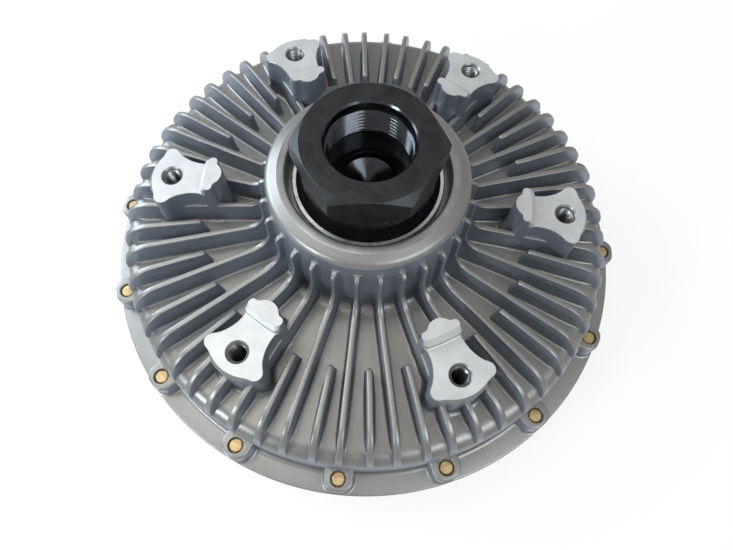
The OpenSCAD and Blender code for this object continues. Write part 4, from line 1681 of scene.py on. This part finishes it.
    def paint_faces(self, mesh: bmesh.types.BMesh) -> None:
        """Gives the cove and the bore their gloss, and the collar and the stem bare steel.

        Args:
            mesh: The shaft's mesh.
        """
        mesh.normal_update()
        ledge = self.collar_top + 0.05
        for face in mesh.faces:
            middle = face.calc_center_median()
            reach = math.hypot(middle.x, middle.y)
            off_cove = math.hypot(reach - self.cove_x, middle.z - self.cove_z) - self.cove_r
            in_cove = abs(off_cove) < 0.12 and middle.z > ledge and abs(face.normal.z) > 0.2
            in_bore = reach < self.wide_r + 0.4 and middle.z > 5
            if in_bore or in_cove:
                face.material_index = 1
            elif middle.z < ledge:
                face.material_index = 2

    def thread(self) -> None:
        """The thread's lining."""
        mesh = threaded_lining(
            self.thread_r,
            self.wide_r,
            self.pitch,
            self.thread_low,
            self.thread_top,
            columns=96,
            rows=8,
        )
        piece(mesh, "input_thread", "input", [self.paint.get(Finish.BLACK_GLOSS)], 40)

    def build(self) -> None:
        """Builds the shaft and its thread."""
        self.head()
        self.thread()


@dataclass
class BimetalCoil:
    """The spring strip: its inner end turns with the valve shaft and its outer turns stay."""

    paint: Paintbox
    shaft_r: float = 4.0
    start_r: float = 6.0
    end_r: float = 26.0
    turns: float = 4.5
    strip_t: float = 1.0
    edge: float = 0.12
    low_z: float = -76.0
    top_z: float = -68.0
    bend_r: float = 1.6
    bend_end: float = 20.0
    inner_points: int = 40
    inner_passes: int = 8
    winding_end: float = 180.0
    facet: float = 4.0
    straight: float = 18.0

    def on_spiral(self, swing: float) -> Point:
        """Point of the strip's middle line.

        Args:
            swing: Its angle from the spiral's start, in degrees.

        Returns:
            The point.
        """
        radius = blend(self.start_r, self.end_r, swing / (self.turns * 360))
        angle = math.radians(swing + 180)
        return (radius * math.cos(angle), radius * math.sin(angle))

    def spiral(self, first: float, last: float) -> list[Point]:
        """Middle line of the strip.

        Args:
            first: Angle of its inner end from the spiral's start, in degrees.
            last: Angle of its outer end.

        Returns:
            The line's points.
        """
        count = round((last - first) / self.facet)
        return [self.on_spiral(blend(first, last, i / count)) for i in range(count + 1)]

    def strip(self, line: Sequence[Point]) -> bmesh.types.BMesh:
        """The upright strip, with eased edges.

        Args:
            line: Its middle line.

        Returns:
            Its closed mesh.
        """
        half, edge = self.strip_t / 2, self.edge
        across = [
            (half, self.low_z + edge), (half, self.top_z - edge), (half - edge, self.top_z),
            (edge - half, self.top_z), (-half, self.top_z - edge), (-half, self.low_z + edge),
            (edge - half, self.low_z), (half - edge, self.low_z),
        ]
        loops = []
        for index, point in enumerate(line):
            before, after = line[max(index - 1, 0)], line[min(index + 1, len(line) - 1)]
            along = (Vector(after) - Vector(before)).normalized()
            loops.append([(point[0] - along.y * t, point[1] + along.x * t, z) for t, z in across])
        return lofted(loops)

    def inner_end(self) -> list[Point]:
        """Middle line of the strip's inner end.

        Returns:
            The line's points, from the shaft's slot through the bend to the spiral.
        """
        bend = (self.bend_r - self.start_r, -self.bend_r)
        rough = [(self.shaft_r, 0.0)] + arc(bend, self.bend_r, 90, 180, 8)
        rough.append(self.on_spiral(self.bend_end))
        return eased(evened(rough, self.inner_points), self.inner_passes)

    def build(self) -> None:
        """Builds the strip in three lengths, whose middle one winds between valve and housing."""
        skin = [self.paint.get(Finish.BIMETAL)]
        last, bound = self.turns * 360, self.winding_end
        piece(self.strip(self.inner_end()), "coil_inner_end", "valve", skin, 40)
        winding = self.strip(self.spiral(self.bend_end, bound))
        made = piece(winding, "coil_inner_turn", "", skin, 40)
        end = Vector((self.on_spiral(bound)[0] - self.strip_t, 0.0, self.low_z)) * MM
        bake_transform(made)
        outer = self.strip(self.spiral(bound, last - self.straight) + [self.on_spiral(last)])
        turns = piece(outer, "coil_outer_turns", "housing", skin, 40)
        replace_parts(turns, "bimetal_coil")


class PackedPieces:
    """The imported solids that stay, each with its finish."""

    FINISHES: dict[str, Finish] = {
        "rim_screws": Finish.GOLD_ZINC,
        "housing_o_ring": Finish.RUBBER,
        "hub_retaining_ring": Finish.SPRING_STEEL,
        "bearing_outer_race": Finish.BRIGHT_STEEL,
        "bearing_inner_race": Finish.BRIGHT_STEEL,
        "bearing_balls": Finish.BRIGHT_STEEL,
        "bearing_cages": Finish.BRONZE,
        "bearing_seals": Finish.RUBBER,
        "rotor": Finish.TURNED_ALUMINIUM,
        "rotor_retaining_ring": Finish.SPRING_STEEL,
        "reservoir_plate": Finish.BRIGHT_STEEL,
        "plate_screws": Finish.GOLD_ZINC,
        "pump_wiper": Finish.BRONZE,
        "passage_plug": Finish.BRIGHT_STEEL,
        "fill_plug": Finish.BRIGHT_STEEL,
        "valve_bush": Finish.BRONZE,
        "valve_o_ring": Finish.RUBBER,
        "valve_shaft": Finish.BARE_STEEL,
        "valve_arm": Finish.BRIGHT_STEEL,
        "valve_retaining_ring": Finish.SPRING_STEEL,
        "coil_anchor_post": Finish.BARE_STEEL,
    }

    def __init__(self, paint: Paintbox) -> None:
        """Takes the finishes from a paintbox."""
        self.paint = paint

    def dress(self) -> None:
        """Gives each solid its finish."""
        for name, finish in self.FINISHES.items():
            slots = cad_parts[name].material_slots
            for index in range(len(slots)):
                slots[index].material = self.paint.get(finish)


# Stage

@dataclass(frozen=True)
class Lamp:
    """A square soft lamp that points at the object; lengths in metres, power in watts."""

    name: str
    place: Place
    side: float
    power: float
    tint: Colour

    def hang(self) -> None:
        """Adds the lamp to the scene."""
        data = bpy.data.lights.new(self.name, "AREA")
        data.size = self.side
        data.energy = self.power
        data.color = self.tint
        made = bpy.data.objects.new(self.name, data)
        made.location = self.place
        made.rotation_mode = "QUATERNION"
        made.rotation_quaternion = Vector(self.place).to_track_quat("Z", "Y")
        bpy.context.scene.collection.objects.link(made)


@dataclass
class Studio:
    """The floor, the soft lamps, the white surround and the camera."""

    floor_z: float = -78.0
    # The floor's radius and its gap under the object are in metres
    floor_r: float = 4.0
    floor_gap: float = 0.0002
    floor_tone: Colour = (0.82, 0.82, 0.82)
    floor_white: float = 0.8
    eye: Place = (7.19, -121.80, 207.66)
    elevation: float = 68.186
    roll: float = 3.284
    yaw: float = 2.64
    lens: float = 26.0
    sensor: float = 36.0
    ambient: float = 0.288
    mirrored: float = 0.8
    lamps: tuple[Lamp, ...] = (
        Lamp("key_lamp", (-0.28, 0.06, 0.92), 0.5, 3.2, (1.0, 0.985, 0.96)),
        Lamp("window_lamp", (-0.90, 0.34, 0.46), 0.7, 15.0, (0.73, 0.865, 1.0)),
        Lamp("front_lamp", (-0.68, -0.64, 0.46), 0.24, 6.2, (0.78, 0.90, 1.0)),
        Lamp("fill_lamp", (0.52, -0.46, 0.70), 0.5, 5.0, (0.86, 0.93, 1.0)),
    )

    def camera(self) -> None:
        """The photograph's view, found from the bolt circle and the rim."""
        lift, roll = math.radians(self.elevation), math.radians(self.roll)
        ahead = Vector((0, math.cos(lift), -math.sin(lift)))
        side, up = Vector((1, 0, 0)), Vector((0, math.sin(lift), math.cos(lift)))
        right = side * math.cos(roll) + up * math.sin(roll)
        over = up * math.cos(roll) - side * math.sin(roll)
        turn = Matrix.Rotation(math.radians(self.yaw), 3, "Z")
        axes = Matrix((turn @ right, turn @ over, turn @ -ahead)).transposed()
        data = bpy.data.cameras.new("camera")
        data.lens = self.lens
        data.sensor_width = self.sensor
        data.clip_start = 0.01
        made = bpy.data.objects.new("camera", data)
        made.matrix_world = Matrix.Translation(Vector(self.eye) * MM) @ axes.to_4x4()
        bpy.context.scene.collection.objects.link(made)
        bpy.context.scene.camera = made

    def world(self) -> None:
        """White to the camera, a pale surround in reflections and a plain level of light."""
        surround = bpy.data.worlds.new("surround")
        bpy.context.scene.world = surround
        shade = Shade(surround)
        path = shade.node("ShaderNodeLightPath")
        glossy, through, camera = (
            Wire(shade, path.outputs[ray])
            for ray in ("Is Glossy Ray", "Is Transmission Ray", "Is Camera Ray")
        )
        levels = {"Value": glossy.most(through), "To Min": self.ambient, "To Max": self.mirrored}
        level = shade.wire("ShaderNodeMapRange", None, levels)
        white = {"Color": (1.0, 1.0, 1.0, 1.0), "Strength": camera.most(level)}
        light = shade.wire("ShaderNodeBackground", None, white)
        shade.node("ShaderNodeOutputWorld", None, {"Surface": light})

    def floor(self) -> None:
        """A plain pale floor that fades to white for the camera and keeps a soft shadow."""
        mesh = bmesh.new()
        bmesh.ops.create_circle(mesh, cap_ends=True, segments=96, radius=self.floor_r)
        bmesh.ops.translate(mesh, verts=mesh.verts, vec=(0, 0, self.floor_z * MM - self.floor_gap))
        data = bpy.data.meshes.new("floor")
        mesh.to_mesh(data)
        mesh.free()
        shade = Shade.of_material("pale_floor")
        path = shade.node("ShaderNodeLightPath")
        seen = Wire(shade, path.outputs["Is Camera Ray"])
        shiny = Wire(shade, path.outputs["Is Glossy Ray"])
        matte = shade.wire("ShaderNodeBsdfDiffuse", None, {"Color": (*self.floor_tone, 1.0)})
        white = shade.wire("ShaderNodeEmission", None, {"Color": (1.0, 1.0, 1.0, 1.0)})
        share = (seen + shiny).ramp(0.0, 1.0) * self.floor_white
        both = shade.wire("ShaderNodeMixShader", None, {0: share, 1: matte, 2: white})
        shade.node("ShaderNodeOutputMaterial", None, {"Surface": both})
        data.materials.append(shade.owner)
        made = bpy.data.objects.new("floor", data)
        bpy.context.scene.collection.objects.link(made)

    def build(self) -> None:
        """Sets the stage."""
        bpy.context.scene.view_settings.view_transform = "Standard"
        self.world()
        self.floor()
        self.camera()
        for lamp in self.lamps:
            lamp.hang()


def main() -> None:
    """Builds the pieces in order and sets the stage."""
    logging.basicConfig(level=logging.INFO, format="%(name)s: %(message)s")
    paint = Paintbox()
    PackedPieces(paint).dress()
    RearCasting(paint).build()
    FrontCasting(paint).build()
    InputShaft(paint).build()
    BimetalCoil(paint).build()
    Studio().build()


if __name__ == "__main__":
    main()
